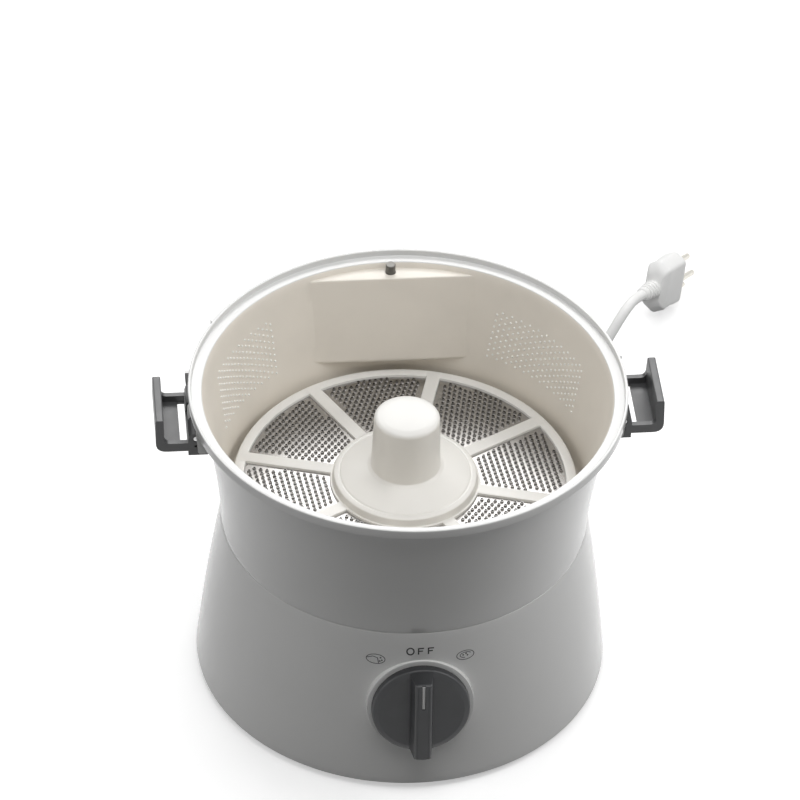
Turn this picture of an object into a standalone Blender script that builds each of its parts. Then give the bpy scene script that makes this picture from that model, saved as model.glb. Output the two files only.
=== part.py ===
"""Electric potato peeler: a motor base, a lift-off bowl with two side latches and a spinning peeling disc.

Metres, +Z up. The origin is on the table, under the middle of the spindle. -Y is the front with the knob.
"""

import math

import bmesh
import bpy
import numpy as np
from mathutils import Matrix, Vector

# Fits that all pieces share
SEAT_GAP = 0.0003  # between pieces that touch
RUN_GAP = 0.0006  # round a piece that turns or slides
OVERRUN = 0.003  # how far a cutter runs past the face it opens
WELD_DISTANCE = 0.000002
WALL = 0.0025  # moulded plastic
SMOOTH_ANGLE = math.radians(35)
ROUND_STEPS = 48
SMALL_STEPS = 12
FULL_TURN = 2 * math.pi

# Base housing
HOUSING_EDGE_HEIGHT = 0.004
SEAM_HEIGHT = 0.104
SEAM_RADIUS = 0.1022
HOUSING_FOOT_RADIUS = SEAM_RADIUS + 0.0138
HOUSING_BULGE_SHARE = 0.25
HOUSING_RINGS = 4
DECK_RISE = 0.004  # the deck's step, which centres the bowl
DECK_THICKNESS = 0.003
STEP_CLEARANCE = 0.0005
COLLAR_WALL = 0.0027
COLLAR_TOP_HEIGHT = 0.122
COLLAR_DROP = 0.007  # below the deck
POST_RADIUS = 0.0045
POST_INSET = 0.022  # from the housing's foot
POST_CIRCLE_RADIUS = HOUSING_FOOT_RADIUS - POST_INSET
POST_BORE_DEPTH = 0.014
SCREW_COUNT = 3

# Spine at the back, which holds the interlock
SPINE_HALF_WIDTH = 0.013
SPINE_DEPTH = SEAM_RADIUS + 0.0113  # its outer face, from the spindle
SPINE_FOOT_HEIGHT = 0.027
ROD_DISTANCE = SPINE_DEPTH - 0.006
CHANNEL_HALF_WIDTH = 0.008
CHANNEL_HALF_DEPTH = 0.0038

# Bowl
RIM_HEIGHT = 0.190  # the lid's seat
BOWL_TOP_RADIUS = SEAM_RADIUS + 0.0118
RIM_INNER_RADIUS = BOWL_TOP_RADIUS - 0.0015
SEAT_WIDTH = 0.0057
LIP_THICKNESS = 0.0017
LIP_HEIGHT = 0.0036
FLANGE_THICKNESS = 0.002
BOWL_FLARE_SHARE = 1.6
BOWL_RINGS = 4
FLOOR_CLEARANCE = 0.0009  # over the deck
FLOOR_THICKNESS = 0.0025
FLOOR_FILLET = 0.003
CHIMNEY_BORE_RADIUS = 0.0118
CHIMNEY_WALL = 0.0022
CHIMNEY_TOP_HEIGHT = 0.145

# Flat baffle on the bowl's back wall, with a ledge on top
LEDGE_DROP = 0.0057
LEDGE_DISTANCE = BOWL_TOP_RADIUS - 0.011
BAFFLE_WAIST_SHARE = 0.392  # of the way from the floor to the ledge
BAFFLE_WAIST_DISTANCE = LEDGE_DISTANCE - 0.0068
BAFFLE_FOOT_SHARE = 0.269

# Rim tabs that index the lid
TAB_HALF_ANGLE = math.radians(5)
TAB_ANGLES = (math.radians(35), math.radians(90), math.radians(145))
TAB_DEPTH = 0.0022

# Latch levers, hinged on the bowl's sides and folded out as in the photograph
HINGE_DISTANCE = BOWL_TOP_RADIUS + 0.0025
HINGE_HEIGHT = RIM_HEIGHT - 0.011
KNUCKLE_RADIUS = 0.0042
EAR_HALF_WIDTH = 0.006
EAR_RADIUS = 0.0038  # clear of the lever's inner bar as it swings
LATCH_HALF_WIDTH = 0.0215
LATCH_RIB = 0.003
WEB_THICKNESS = 0.0025
WEB_DROP = 0.012  # the web's underside, below the hinge axis
RIB_DROP = 0.004  # the ribs' top edge, below the hinge axis
BAR_INNER = 0.001
BAR_OUTER = 0.0047
SLOT_WIDTH = 0.0038
SLOT_MARGIN = 0.0005
LIP_INNER = 0.0175
LATCH_LIP = 0.0045
LATCH_LIP_RISE = 0.011
LATCH_CORNER = 0.006
HEEL_REACH = 0.0062
HEEL_DROP = 0.007
HEEL_WIDTH = 0.006
PIN_RADIUS = 0.0016
PIN_CLEARANCE = 0.0003
GUARD_DISTANCE = 0.0255
GUARD_THICKNESS = 0.0025
GUARD_REACH = BOWL_TOP_RADIUS + 0.0055
GUARD_DEPTH = 0.016

# Peeling disc
DISC_CLEARANCE = 0.0042  # to the bowl's wall at its foot
DISC_RADIUS = SEAM_RADIUS - WALL - DISC_CLEARANCE
DISC_TOP_HEIGHT = 0.126
DISC_SKIRT_HEIGHT = 0.116
DISC_EDGE_ROUND = 0.0015
DISC_WEB_THICKNESS = 0.0027
PLATE_POCKET_DEPTH = 0.0026
HUB_RADIUS = 0.0398
HUB_EDGE_HEIGHT = 0.1305
HUB_ROUND = 0.0014
HUB_TOP_HEIGHT = 0.137
HUB_WALL = 0.0028
KNOB_POST_RADIUS = 0.0181
KNOB_POST_TOP = 0.1725
KNOB_POST_ROUND = 0.0045
KNOB_POST_DRAFT = 0.0012
KNOB_POST_CROWN = 0.0006
SOCKET_CAVITY_RADIUS = 0.0148
CAVITY_TOP_HEIGHT = 0.1690
SEGMENT_COUNT = 8
SEGMENT_START = math.radians(29.5)
SPOKE_WIDTH = 0.0075
POCKET_INNER_RADIUS = HUB_RADIUS + 0.0017
POCKET_OUTER_RADIUS = DISC_RADIUS - 0.006
WINDOW_MARGIN = 0.0035
SECTOR_STEPS = 4

# Grater plates
PLATE_THICKNESS = 0.0009
BURR_ROOT_RADIUS = 0.0030
BURR_TIP_RADIUS = 0.0021
BURR_HEIGHT = 0.0013
BURR_HOLE_RADIUS = 0.0014
BURR_SIDES = 5
BURR_ROW_COUNT = 3
BURR_FIRST_ROW = POCKET_INNER_RADIUS + 0.0105
BURR_LAST_ROW = POCKET_OUTER_RADIUS - 0.0115
BURR_ROW_PITCH = (BURR_LAST_ROW - BURR_FIRST_ROW) / (BURR_ROW_COUNT - 1)
BURR_PITCH = 0.0165

# Drive: spindle, head and socket
SPINDLE_RADIUS = 0.004
SPINDLE_FOOT_HEIGHT = 0.0105
SPINDLE_TOP_HEIGHT = 0.1610
HEAD_RADIUS = 0.0085  # over the hexagon's corners
HEAD_FOOT_HEIGHT = 0.1480
HEAD_TOP_HEIGHT = 0.1625
HEX_SIDES = 6
SOCKET_FOOT_HEIGHT = 0.1500
SOCKET_TOP_HEIGHT = 0.1600
SOCKET_FIT = 0.0006
BEARING_RADIUS = 0.008
BEARING_LENGTH = 0.018
SEAL_HEIGHT = 0.003
LOWER_BEARING_LENGTH = 0.010
LOWER_BEARING_HEIGHT = 0.012
BOSS_WALL = 0.0035

# Belt drive
BELT_PLANE_LOW = 0.024
BELT_WIDTH = 0.010
BELT_THICKNESS = 0.0018
FLANGE_LIP = 0.0016
DRIVEN_RADIUS = 0.040
DRIVEN_RIM = 0.004
DRIVEN_WEB = 0.004
DRIVEN_HUB_RADIUS = 0.009
LIGHTENING_COUNT = 3
LIGHTENING_RADIUS = 0.0085
MOTOR_PULLEY_RADIUS = 0.008
PULLEY_STEPS = 18

# Motor
MOTOR_X = -0.052
MOTOR_Y = 0.030
STATOR_HALF = 0.028
STATOR_LOW = 0.050
STATOR_HIGH = 0.074
STATOR_ROUND = 0.005
STATOR_BORE = 0.0175
COIL_INNER = 0.0185
COIL_OUTER = 0.0250
COIL_HALF_WIDTH = 0.012
COIL_PROUD = 0.004
ROTOR_RADIUS = 0.0165
ROTOR_SHAFT_RADIUS = 0.003
ROTOR_SHAFT_LOW = 0.0225
ROTOR_SHAFT_HIGH = 0.0930
COMMUTATOR_RADIUS = 0.0085
COMMUTATOR_LOW = 0.0755
COMMUTATOR_HIGH = 0.0835
FAN_RADIUS = 0.016
FAN_HEIGHT = 0.0045
FAN_HUB_RADIUS = 0.005
FAN_BLADES = 8
FAN_BLADE_THICKNESS = 0.0012
FAN_DISC = 0.001
BRACKET_THICKNESS = 0.003
BRACKET_HALF_LENGTH = 0.034
BRACKET_HALF_WIDTH = 0.010
BRACKET_LOW = 0.0405
BRACKET_HIGH = 0.0865
BRACKET_LEG = 0.005
BRUSH_HALF = 0.004
BRUSH_LENGTH = 0.014
MOTOR_POST_RADIUS = 0.004

# Bottom cover, feet and screws
COVER_HEIGHT = 0.0048
COVER_THICKNESS = 0.0025
COVER_FIT = 0.0005
VENT_COUNT = 5
VENT_PITCH = 0.009
VENT_WIDTH = 0.0035
VENT_HALF_LENGTH = 0.022
FOOT_CIRCLE_RADIUS = HOUSING_FOOT_RADIUS - 0.018
FOOT_RADIUS = 0.009
FOOT_STUD_RADIUS = 0.003
FOOT_STUD_RISE = 0.0005
SCREW_HEAD_RADIUS = 0.0034
SCREW_HEAD_HEIGHT = 0.0022
SCREW_RADIUS = 0.0017
SCREW_LENGTH = 0.014

# Knob and rotary switch
KNOB_HEIGHT = 0.058  # where its axis meets the housing
KNOB_RADIUS = 0.027
KNOB_DISC = 0.006
KNOB_RISE = 0.017
KNOB_ROUND = 0.0012
GRIP_HALF_WIDTH = 0.006
GRIP_DRAFT = 0.0015
PAD_RADIUS = 0.0295
PAD_PROUD = 0.0008
PAD_DEPTH = 0.010
KNOB_SHAFT_RADIUS = 0.003
KNOB_SHAFT_IN = 0.013
KNOB_SHAFT_OUT = 0.009
SWITCH_HALF = 0.0125
SWITCH_DEPTH = 0.018
SWITCH_BORE_DEPTH = 0.012

# Interlock
ROD_RADIUS = 0.00275
ROD_TOP_RISE = 0.0055  # over the ledge
ROD_FOOT_HEIGHT = 0.1038
ROD_COLLAR_RADIUS = 0.0034
ROD_COLLAR_HEIGHT = 0.002
ROD_TRAVEL = 0.004
ROD_SHELF_DROP = 0.0263  # below the ledge
PLUNGER_RADIUS = 0.0027
PLUNGER_TOP_GAP = 0.0006  # below the spine's top face
PLUNGER_FLANGE_RADIUS = 0.0034
PLUNGER_FLANGE = 0.002
PLUNGER_SHELF_HEIGHT = 0.086
PLUNGER_TAIL = 0.0845
SPRING_WIRE = 0.0006
SPRING_TURNS = 4
SPRING_POINTS = 8
MICROSWITCH_TOP = 0.0800
MICROSWITCH_LOW = 0.0640
MICROSWITCH_HALF_LENGTH = 0.010
MICROSWITCH_HALF_DEPTH = 0.0035

# Mains lead
CORD_RADIUS = 0.00325
CORD_ANGLE = math.radians(58)
CORD_HEIGHT = 0.016
RELIEF_LENGTH = 0.038
RELIEF_ROOT_RADIUS = 0.0066
RELIEF_TIP_RADIUS = 0.0045
RELIEF_COLLAR_RADIUS = 0.0085
RELIEF_COLLAR = 0.003
RELIEF_TAIL = 0.007
RELIEF_RIBS = 3
RELIEF_GROOVE = 0.0007
COIL_X = 0.045
COIL_Y = 0.205
COIL_LAY_RADIUS = 0.042
COIL_PITCH = 0.0072
COIL_FLOOR = 0.0046  # the lower layer's centre line
COIL_TURNS = 3.892
COIL_POINTS = 24
COIL_CLIMB_SHARE = 0.5  # of a turn
COIL_FACETS = 1
CORD_FACETS = 2
CORD_LIE = 0.0034  # its centre line on the table
TIE_THICKNESS = 0.0009
TIE_HALF_WIDTH = 0.003
TIE_LIFT = 0.0001
CORD_POINT_SPACING = 0.008
BEND_SHARE = 0.38
REST_X = 0.128
REST_Y = 0.228
REST_TURN = math.radians(35)

# Plug, on its narrow edge with the pins' tips dipped to the table
PLUG_X = 0.1982
PLUG_Y = 0.3035
PLUG_HEIGHT = 0.0176
PLUG_TURN = math.radians(53.8)
PLUG_DIP = math.radians(18.3)
PLUG_ROLL = math.radians(87)
PLUG_BEVEL = math.radians(60)
PLUG_HALF_WIDTH = 0.0180
PLUG_HALF_THICKNESS = 0.0080
PLUG_LENGTH = 0.0270
PLUG_NECK_LENGTH = 0.0160
PLUG_NECK_ROOT = 0.0062
PLUG_NECK_TIP = 0.0045
PLUG_TAPER_SHARE = 0.86
PLUG_SHRINK_SHARE = 0.6
PLUG_PIN_RADIUS = 0.002
PLUG_PIN_LENGTH = 0.019
PLUG_PIN_SPACING = 0.0095
PLUG_EARTH_OFFSET = 0.005
PLUG_PIN_SEAT = 0.005

# Heights and radii that follow from those above
STEP_RADIUS = SEAM_RADIUS - WALL - STEP_CLEARANCE
DECK_TOP = SEAM_HEIGHT + DECK_RISE
DECK_BOTTOM = DECK_TOP - DECK_THICKNESS
SHOULDER_BOTTOM = SEAM_HEIGHT - WALL
COLLAR_RADIUS = BEARING_RADIUS + SEAT_GAP + COLLAR_WALL
BOWL_FOOT = SEAM_HEIGHT + SEAT_GAP
FLANGE_BOTTOM = RIM_HEIGHT - FLANGE_THICKNESS
LIP_INNER_RADIUS = RIM_INNER_RADIUS + SEAT_WIDTH
LIP_RADIUS = LIP_INNER_RADIUS + LIP_THICKNESS
FLOOR_BOTTOM = DECK_TOP + FLOOR_CLEARANCE
FLOOR_TOP = FLOOR_BOTTOM + FLOOR_THICKNESS
LEDGE_HEIGHT = RIM_HEIGHT - LEDGE_DROP
BAFFLE_WAIST_HEIGHT = FLOOR_TOP + (LEDGE_HEIGHT - FLOOR_TOP) * BAFFLE_WAIST_SHARE
BAFFLE_FOOT_HEIGHT = FLOOR_TOP + (LEDGE_HEIGHT - FLOOR_TOP) * BAFFLE_FOOT_SHARE
ROD_SHELF_HEIGHT = LEDGE_HEIGHT - ROD_SHELF_DROP
POCKET_FLOOR = DISC_TOP_HEIGHT - PLATE_POCKET_DEPTH
DISC_WEB_BOTTOM = POCKET_FLOOR - DISC_WEB_THICKNESS
COVER_TOP = COVER_HEIGHT + COVER_THICKNESS
BELT_PLANE_HIGH = BELT_PLANE_LOW + BELT_WIDTH

WHITE = ("white_plastic", (0.86, 0.86, 0.85, 1), 0.25, 0)
DISC_WHITE = ("disc_plastic", (0.88, 0.87, 0.85, 1), 0.35, 0)
BLACK = ("black_plastic", (0.03, 0.03, 0.032, 1), 0.4, 0)
RUBBER = ("rubber", (0.05, 0.05, 0.05, 1), 0.8, 0)
STEEL = ("stainless_steel", (0.72, 0.72, 0.72, 1), 0.25, 1)
IRON = ("laminated_iron", (0.35, 0.35, 0.36, 1), 0.5, 1)
COPPER = ("copper", (0.75, 0.38, 0.22, 1), 0.4, 1)
BRASS = ("nickelled_brass", (0.75, 0.74, 0.70, 1), 0.3, 1)
NYLON = ("nylon", (0.80, 0.79, 0.74, 1), 0.5, 0)
CORD = ("white_cord", (0.85, 0.85, 0.84, 1), 0.5, 0)


def clear_scene():
    for obj in list(bpy.data.objects):
        bpy.data.objects.remove(obj)


def material(look):
    name, colour, roughness, metallic = look
    found = bpy.data.materials.get(name)
    if found:
        return found
    made = bpy.data.materials.new(name)
    made.use_nodes = True
    shader = made.node_tree.nodes["Principled BSDF"]
    shader.inputs["Base Color"].default_value = colour
    shader.inputs["Roughness"].default_value = roughness
    shader.inputs["Metallic"].default_value = metallic
    made.diffuse_color = colour
    return made


def piece(name, shape, look, parent=None):
    """Turns a finished bmesh into a named object."""
    bmesh.ops.remove_doubles(shape, verts=shape.verts, dist=WELD_DISTANCE)
    bmesh.ops.recalc_face_normals(shape, faces=shape.faces)
    mesh = bpy.data.meshes.new(name)
    shape.to_mesh(mesh)
    shape.free()
    mesh.shade_smooth()
    mesh.set_sharp_from_angle(angle=SMOOTH_ANGLE)
    obj = bpy.data.objects.new(name, mesh)
    bpy.context.scene.collection.objects.link(obj)
    obj.parent = parent
    if look:
        mesh.materials.append(material(look))
    return obj


def cutter(name, shape, parent=None):
    """A helper solid for a Boolean, left out of the finished object."""
    obj = piece(name, shape, None, parent)
    obj.hide_render = True
    obj.display_type = "WIRE"
    return obj


def combine(obj, other, operation):
    step = obj.modifiers.new(other.name, "BOOLEAN")
    step.operation = operation
    step.solver = "EXACT"
    step.object = other


def cut(obj, label, shape):
    combine(obj, cutter(f"{obj.name}_{label}", shape, obj.parent), "DIFFERENCE")


def add(obj, label, shape):
    combine(obj, cutter(f"{obj.name}_{label}", shape, obj.parent), "UNION")


def joint_empty(name, place, turn=None):
    empty = bpy.data.objects.new(name, None)
    bpy.context.scene.collection.objects.link(empty)
    empty.matrix_world = Matrix.Translation(place) @ (turn or Matrix.Identity(4))
    return empty


def lathe(outline, steps=ROUND_STEPS):
    """Spins a closed outline of (radius, height) points round the Z axis."""
    shape = bmesh.new()
    points = [shape.verts.new((radius, 0, height)) for radius, height in outline]
    edges = []
    for first, second in zip(points, points[1:] + points[:1]):
        if first.co.x > 0 or second.co.x > 0:
            edges.append(shape.edges.new((first, second)))
    bmesh.ops.spin(
        shape, geom=points + edges, cent=(0, 0, 0), axis=(0, 0, 1), angle=FULL_TURN, steps=steps, use_merge=True
    )
    bmesh.ops.remove_doubles(shape, verts=shape.verts, dist=WELD_DISTANCE)
    return shape


def drum(radius, low, high, steps=SMALL_STEPS, bore=0):
    """A straight round piece on the Z axis, solid or with a bore."""
    return lathe([(radius, high), (radius, low), (bore, low), (bore, high)], steps)


def block(low, high):
    shape = bmesh.new()
    bmesh.ops.create_cube(shape, size=1)
    size = Vector(high) - Vector(low)
    middle = (Vector(high) + Vector(low)) / 2
    bmesh.ops.transform(shape, matrix=Matrix.Translation(middle) @ Matrix.Diagonal((*size, 1)), verts=shape.verts)
    return shape


def slab(outline, low, high):
    """Extrudes a flat outline of (x, y) points from one height to another."""
    shape = bmesh.new()
    points = [shape.verts.new((x, y, low)) for x, y in outline]
    face = shape.faces.new(points)
    grown = bmesh.ops.extrude_face_region(shape, geom=[face])
    raised = [item for item in grown["geom"] if isinstance(item, bmesh.types.BMVert)]
    bmesh.ops.translate(shape, verts=raised, vec=(0, 0, high - low))
    return shape


def side_slab(outline, near, far):
    """Extrudes an outline of (x, z) points along Y."""
    shape = slab(outline, 0, far - near)
    bmesh.ops.transform(shape, matrix=Matrix.Rotation(math.pi / 2, 4, "X"), verts=shape.verts)
    bmesh.ops.translate(shape, verts=shape.verts, vec=(0, far, 0))
    return shape


def depth_slab(outline, left, right):
    """Extrudes an outline of (y, z) points along X."""
    shape = slab(outline, left, right)
    turn = Matrix(((0, 0, 1, 0), (1, 0, 0, 0), (0, 1, 0, 0), (0, 0, 0, 1)))
    bmesh.ops.transform(shape, matrix=turn, verts=shape.verts)
    return shape


def moved(shape, place=(0, 0, 0), turn=None):
    bmesh.ops.transform(shape, matrix=Matrix.Translation(place) @ (turn or Matrix.Identity(4)), verts=shape.verts)
    return shape


def together(shapes):
    """Several separate solids in one helper mesh."""
    whole = bmesh.new()
    for shape in shapes:
        mesh = bpy.data.meshes.new("helper")
        bmesh.ops.recalc_face_normals(shape, faces=shape.faces)
        shape.to_mesh(mesh)
        shape.free()
        whole.from_mesh(mesh)
        bpy.data.meshes.remove(mesh)
    return whole


def polar(radius, angle):
    return radius * math.cos(angle), radius * math.sin(angle)


def arc(centre, radius, start, end, steps):
    turns = [start + (end - start) * step / steps for step in range(steps + 1)]
    return [(centre[0] + radius * math.cos(turn), centre[1] + radius * math.sin(turn)) for turn in turns]


def spread(first, last, count):
    return [first + (last - first) * step / count for step in range(count + 1)]


def housing_radius(height):
    share = (SEAM_HEIGHT - height) / (SEAM_HEIGHT - HOUSING_EDGE_HEIGHT)
    bulged_share = share + HOUSING_BULGE_SHARE * share * (1 - share)
    return SEAM_RADIUS + (HOUSING_FOOT_RADIUS - SEAM_RADIUS) * bulged_share


def bowl_radius(height):
    share = max(0, (height - BOWL_FOOT) / (FLANGE_BOTTOM - BOWL_FOOT))
    return SEAM_RADIUS + (BOWL_TOP_RADIUS - SEAM_RADIUS) * share**BOWL_FLARE_SHARE


def knob_frame():
    """The knob's own frame: +Z points out of the sloping front, +Y up the slope."""
    slope = housing_radius(KNOB_HEIGHT - KNOB_RADIUS) - housing_radius(KNOB_HEIGHT + KNOB_RADIUS)
    lean = math.atan2(slope, 2 * KNOB_RADIUS)
    turn = Matrix.Rotation(math.pi / 2 - lean, 4, "X")
    place = (0, -housing_radius(KNOB_HEIGHT) - PAD_PROUD, KNOB_HEIGHT)
    return place, turn


def post_angles():
    """The screw posts, clear of the motor, the knob, the spine and the lead."""
    return [FULL_TURN * index / SCREW_COUNT for index in range(SCREW_COUNT)]


def make_housing():
    outer = spread(SEAM_HEIGHT, HOUSING_EDGE_HEIGHT, HOUSING_RINGS)
    inner = spread(HOUSING_EDGE_HEIGHT, SHOULDER_BOTTOM, HOUSING_RINGS)
    outline = [
        (COLLAR_RADIUS, COLLAR_TOP_HEIGHT),
        (COLLAR_RADIUS, DECK_TOP),
        (STEP_RADIUS, DECK_TOP),
        (STEP_RADIUS, SEAM_HEIGHT),
    ]
    outline += [(housing_radius(height), height) for height in outer]
    outline += [(housing_radius(height) - WALL, height) for height in inner]
    outline += [
        (STEP_RADIUS - WALL, SHOULDER_BOTTOM),
        (STEP_RADIUS - WALL, DECK_BOTTOM),
        (COLLAR_RADIUS, DECK_BOTTOM),
        (COLLAR_RADIUS, DECK_BOTTOM - COLLAR_DROP),
        (BEARING_RADIUS + SEAT_GAP, DECK_BOTTOM - COLLAR_DROP),
        (BEARING_RADIUS + SEAT_GAP, COLLAR_TOP_HEIGHT),
    ]
    housing = piece("base_housing", lathe(outline), WHITE)
    spine_root = STEP_RADIUS - WALL / 2
    add(
        housing,
        "spine",
        block((-SPINE_HALF_WIDTH, spine_root, SPINE_FOOT_HEIGHT), (SPINE_HALF_WIDTH, SPINE_DEPTH, SEAM_HEIGHT)),
    )
    posts = []
    for angle in post_angles():
        x, y = polar(POST_CIRCLE_RADIUS, angle)
        outline = [
            (0, DECK_TOP - WALL),
            (POST_RADIUS, DECK_TOP - WALL),
            (POST_RADIUS, COVER_TOP + SEAT_GAP),
            (SCREW_RADIUS + SEAT_GAP, COVER_TOP + SEAT_GAP),
            (SCREW_RADIUS + SEAT_GAP, COVER_TOP + POST_BORE_DEPTH),
            (0, COVER_TOP + POST_BORE_DEPTH),
        ]
        posts.append(moved(lathe(outline, SMALL_STEPS), (x, y, 0)))
    for side in (-1, 1):
        x = MOTOR_X + side * (BRACKET_HALF_LENGTH - MOTOR_POST_RADIUS)
        low = BRACKET_HIGH + BRACKET_THICKNESS + SEAT_GAP
        posts.append(moved(drum(MOTOR_POST_RADIUS, low, DECK_TOP - WALL), (x, MOTOR_Y, 0)))
    add(housing, "posts", together(posts))
    place, turn = knob_frame()
    opening = drum(PAD_RADIUS - WALL / 2, -PAD_DEPTH - OVERRUN, OVERRUN, ROUND_STEPS // 2)
    cut(housing, "pad_opening", moved(opening, place, turn))
    shaft_hole = KNOB_SHAFT_RADIUS + RUN_GAP
    outline = [
        (PAD_RADIUS, 0),
        (PAD_RADIUS, -PAD_DEPTH),
        (PAD_RADIUS - WALL, -PAD_DEPTH),
        (PAD_RADIUS - WALL, -WALL),
        (shaft_hole, -WALL),
        (shaft_hole, 0),
    ]
    add(housing, "pad", moved(lathe(outline, ROUND_STEPS // 2), place, turn))
    cut(
        housing,
        "spine_pocket",
        block(
            (WALL - SPINE_HALF_WIDTH, spine_root - WALL, SPINE_FOOT_HEIGHT + WALL),
            (SPINE_HALF_WIDTH - WALL, SPINE_DEPTH - WALL, SHOULDER_BOTTOM),
        ),
    )
    shelf = block(
        (WALL / 2 - SPINE_HALF_WIDTH, STEP_RADIUS, PLUNGER_SHELF_HEIGHT - WALL),
        (SPINE_HALF_WIDTH - WALL / 2, SPINE_DEPTH - WALL / 2, PLUNGER_SHELF_HEIGHT),
    )
    add(housing, "switch_shelf", shelf)
    plunger_hole = drum(PLUNGER_RADIUS + RUN_GAP, PLUNGER_TAIL - OVERRUN, SEAM_HEIGHT + OVERRUN)
    cut(housing, "plunger_hole", moved(plunger_hole, (0, ROD_DISTANCE, 0)))
    x, y = polar(housing_radius(CORD_HEIGHT), CORD_ANGLE)
    gland = drum(RELIEF_ROOT_RADIUS + SEAT_GAP, -WALL - OVERRUN * 2, OVERRUN)
    cut(housing, "cord_hole", moved(gland, (x, y, CORD_HEIGHT), cord_turn()))


def cord_turn():
    """Turns +Z to point straight out of the housing where the lead leaves it."""
    return Matrix.Rotation(CORD_ANGLE, 4, "Z") @ Matrix.Rotation(math.pi / 2, 4, "Y")


def vent_slots():
    slots = []
    for index in range(VENT_COUNT):
        x = (index - (VENT_COUNT - 1) / 2) * VENT_PITCH
        y = -POST_CIRCLE_RADIUS / 2
        slots.append(
            block(
                (x - VENT_WIDTH / 2, y - VENT_HALF_LENGTH, COVER_HEIGHT - OVERRUN),
                (x + VENT_WIDTH / 2, y + VENT_HALF_LENGTH, COVER_TOP + OVERRUN),
            )
        )
    return together(slots)


def foot_places():
    return [polar(FOOT_CIRCLE_RADIUS, math.radians(45) + FULL_TURN * index / 4) for index in range(4)]


def make_bottom():
    edge = housing_radius(COVER_TOP) - WALL - COVER_FIT
    boss_radius = BEARING_RADIUS + SEAT_GAP + BOSS_WALL
    boss_top = LOWER_BEARING_HEIGHT + LOWER_BEARING_LENGTH
    outline = [
        (0, COVER_TOP + WALL / 2),
        (0, COVER_HEIGHT),
        (edge, COVER_HEIGHT),
        (edge, COVER_TOP),
        (boss_radius, COVER_TOP),
        (boss_radius, boss_top),
        (BEARING_RADIUS + SEAT_GAP, boss_top),
        (BEARING_RADIUS + SEAT_GAP, COVER_TOP + WALL / 2),
    ]
    cover = piece("bottom_cover", lathe(outline, ROUND_STEPS), WHITE)
    cut(cover, "vents", vent_slots())
    holes = []
    for x, y in foot_places():
        holes.append(moved(drum(FOOT_STUD_RADIUS + SEAT_GAP, 0, COVER_TOP + OVERRUN), (x, y, 0)))
    for angle in post_angles():
        x, y = polar(POST_CIRCLE_RADIUS, angle)
        holes.append(moved(drum(SCREW_RADIUS + SEAT_GAP, 0, COVER_TOP + OVERRUN), (x, y, 0)))
    cut(cover, "holes", together(holes))
    for index, (x, y) in enumerate(foot_places()):
        outline = [
            (0, COVER_TOP + FOOT_STUD_RISE),
            (FOOT_STUD_RADIUS, COVER_TOP + FOOT_STUD_RISE),
            (FOOT_STUD_RADIUS, COVER_HEIGHT - SEAT_GAP),
            (FOOT_RADIUS, COVER_HEIGHT - SEAT_GAP),
            (FOOT_RADIUS - FOOT_STUD_RISE, 0),
            (0, 0),
        ]
        foot = piece(f"rubber_foot_{index + 1}", lathe(outline, SMALL_STEPS), RUBBER)
        foot.location = (x, y, 0)
    for index, angle in enumerate(post_angles()):
        x, y = polar(POST_CIRCLE_RADIUS, angle)
        head_top = COVER_HEIGHT - SEAT_GAP
        outline = [
            (0, head_top + SCREW_LENGTH),
            (SCREW_RADIUS, head_top + SCREW_LENGTH),
            (SCREW_RADIUS, head_top),
            (SCREW_HEAD_RADIUS, head_top),
            (SCREW_HEAD_RADIUS * PLUG_TAPER_SHARE, head_top - SCREW_HEAD_HEIGHT),
            (0, head_top - SCREW_HEAD_HEIGHT),
        ]
        screw = piece(f"cover_screw_{index + 1}", lathe(outline, SMALL_STEPS), STEEL)
        screw.location = (x, y, 0)


def make_bearings():
    bore = SPINDLE_RADIUS + SEAT_GAP
    top = COLLAR_TOP_HEIGHT - SEAL_HEIGHT - SEAT_GAP
    piece("bearing_upper", drum(BEARING_RADIUS, top - BEARING_LENGTH, top, SMALL_STEPS, bore), BRASS)
    low = LOWER_BEARING_HEIGHT
    piece("bearing_lower", drum(BEARING_RADIUS, low, low + LOWER_BEARING_LENGTH, SMALL_STEPS, bore), BRASS)
    seal_low = COLLAR_TOP_HEIGHT - SEAL_HEIGHT
    piece("spindle_seal", drum(BEARING_RADIUS, seal_low, COLLAR_TOP_HEIGHT, SMALL_STEPS, bore), RUBBER)


def pulley_outline(radius, rim, web, hub, bore):
    """A flanged belt pulley, half section."""
    low, high = BELT_PLANE_LOW - FLANGE_LIP, BELT_PLANE_HIGH + FLANGE_LIP
    middle = (low + high) / 2
    return [
        (radius + FLANGE_LIP, high),
        (radius, high - FLANGE_LIP),
        (radius, low + FLANGE_LIP),
        (radius + FLANGE_LIP, low),
        (radius - rim, low),
        (radius - rim, middle - web / 2),
        (hub, middle - web / 2),
        (hub, low),
        (bore, low),
        (bore, high),
        (hub, high),
        (hub, middle + web / 2),
        (radius - rim, middle + web / 2),
        (radius - rim, high),
    ]


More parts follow.
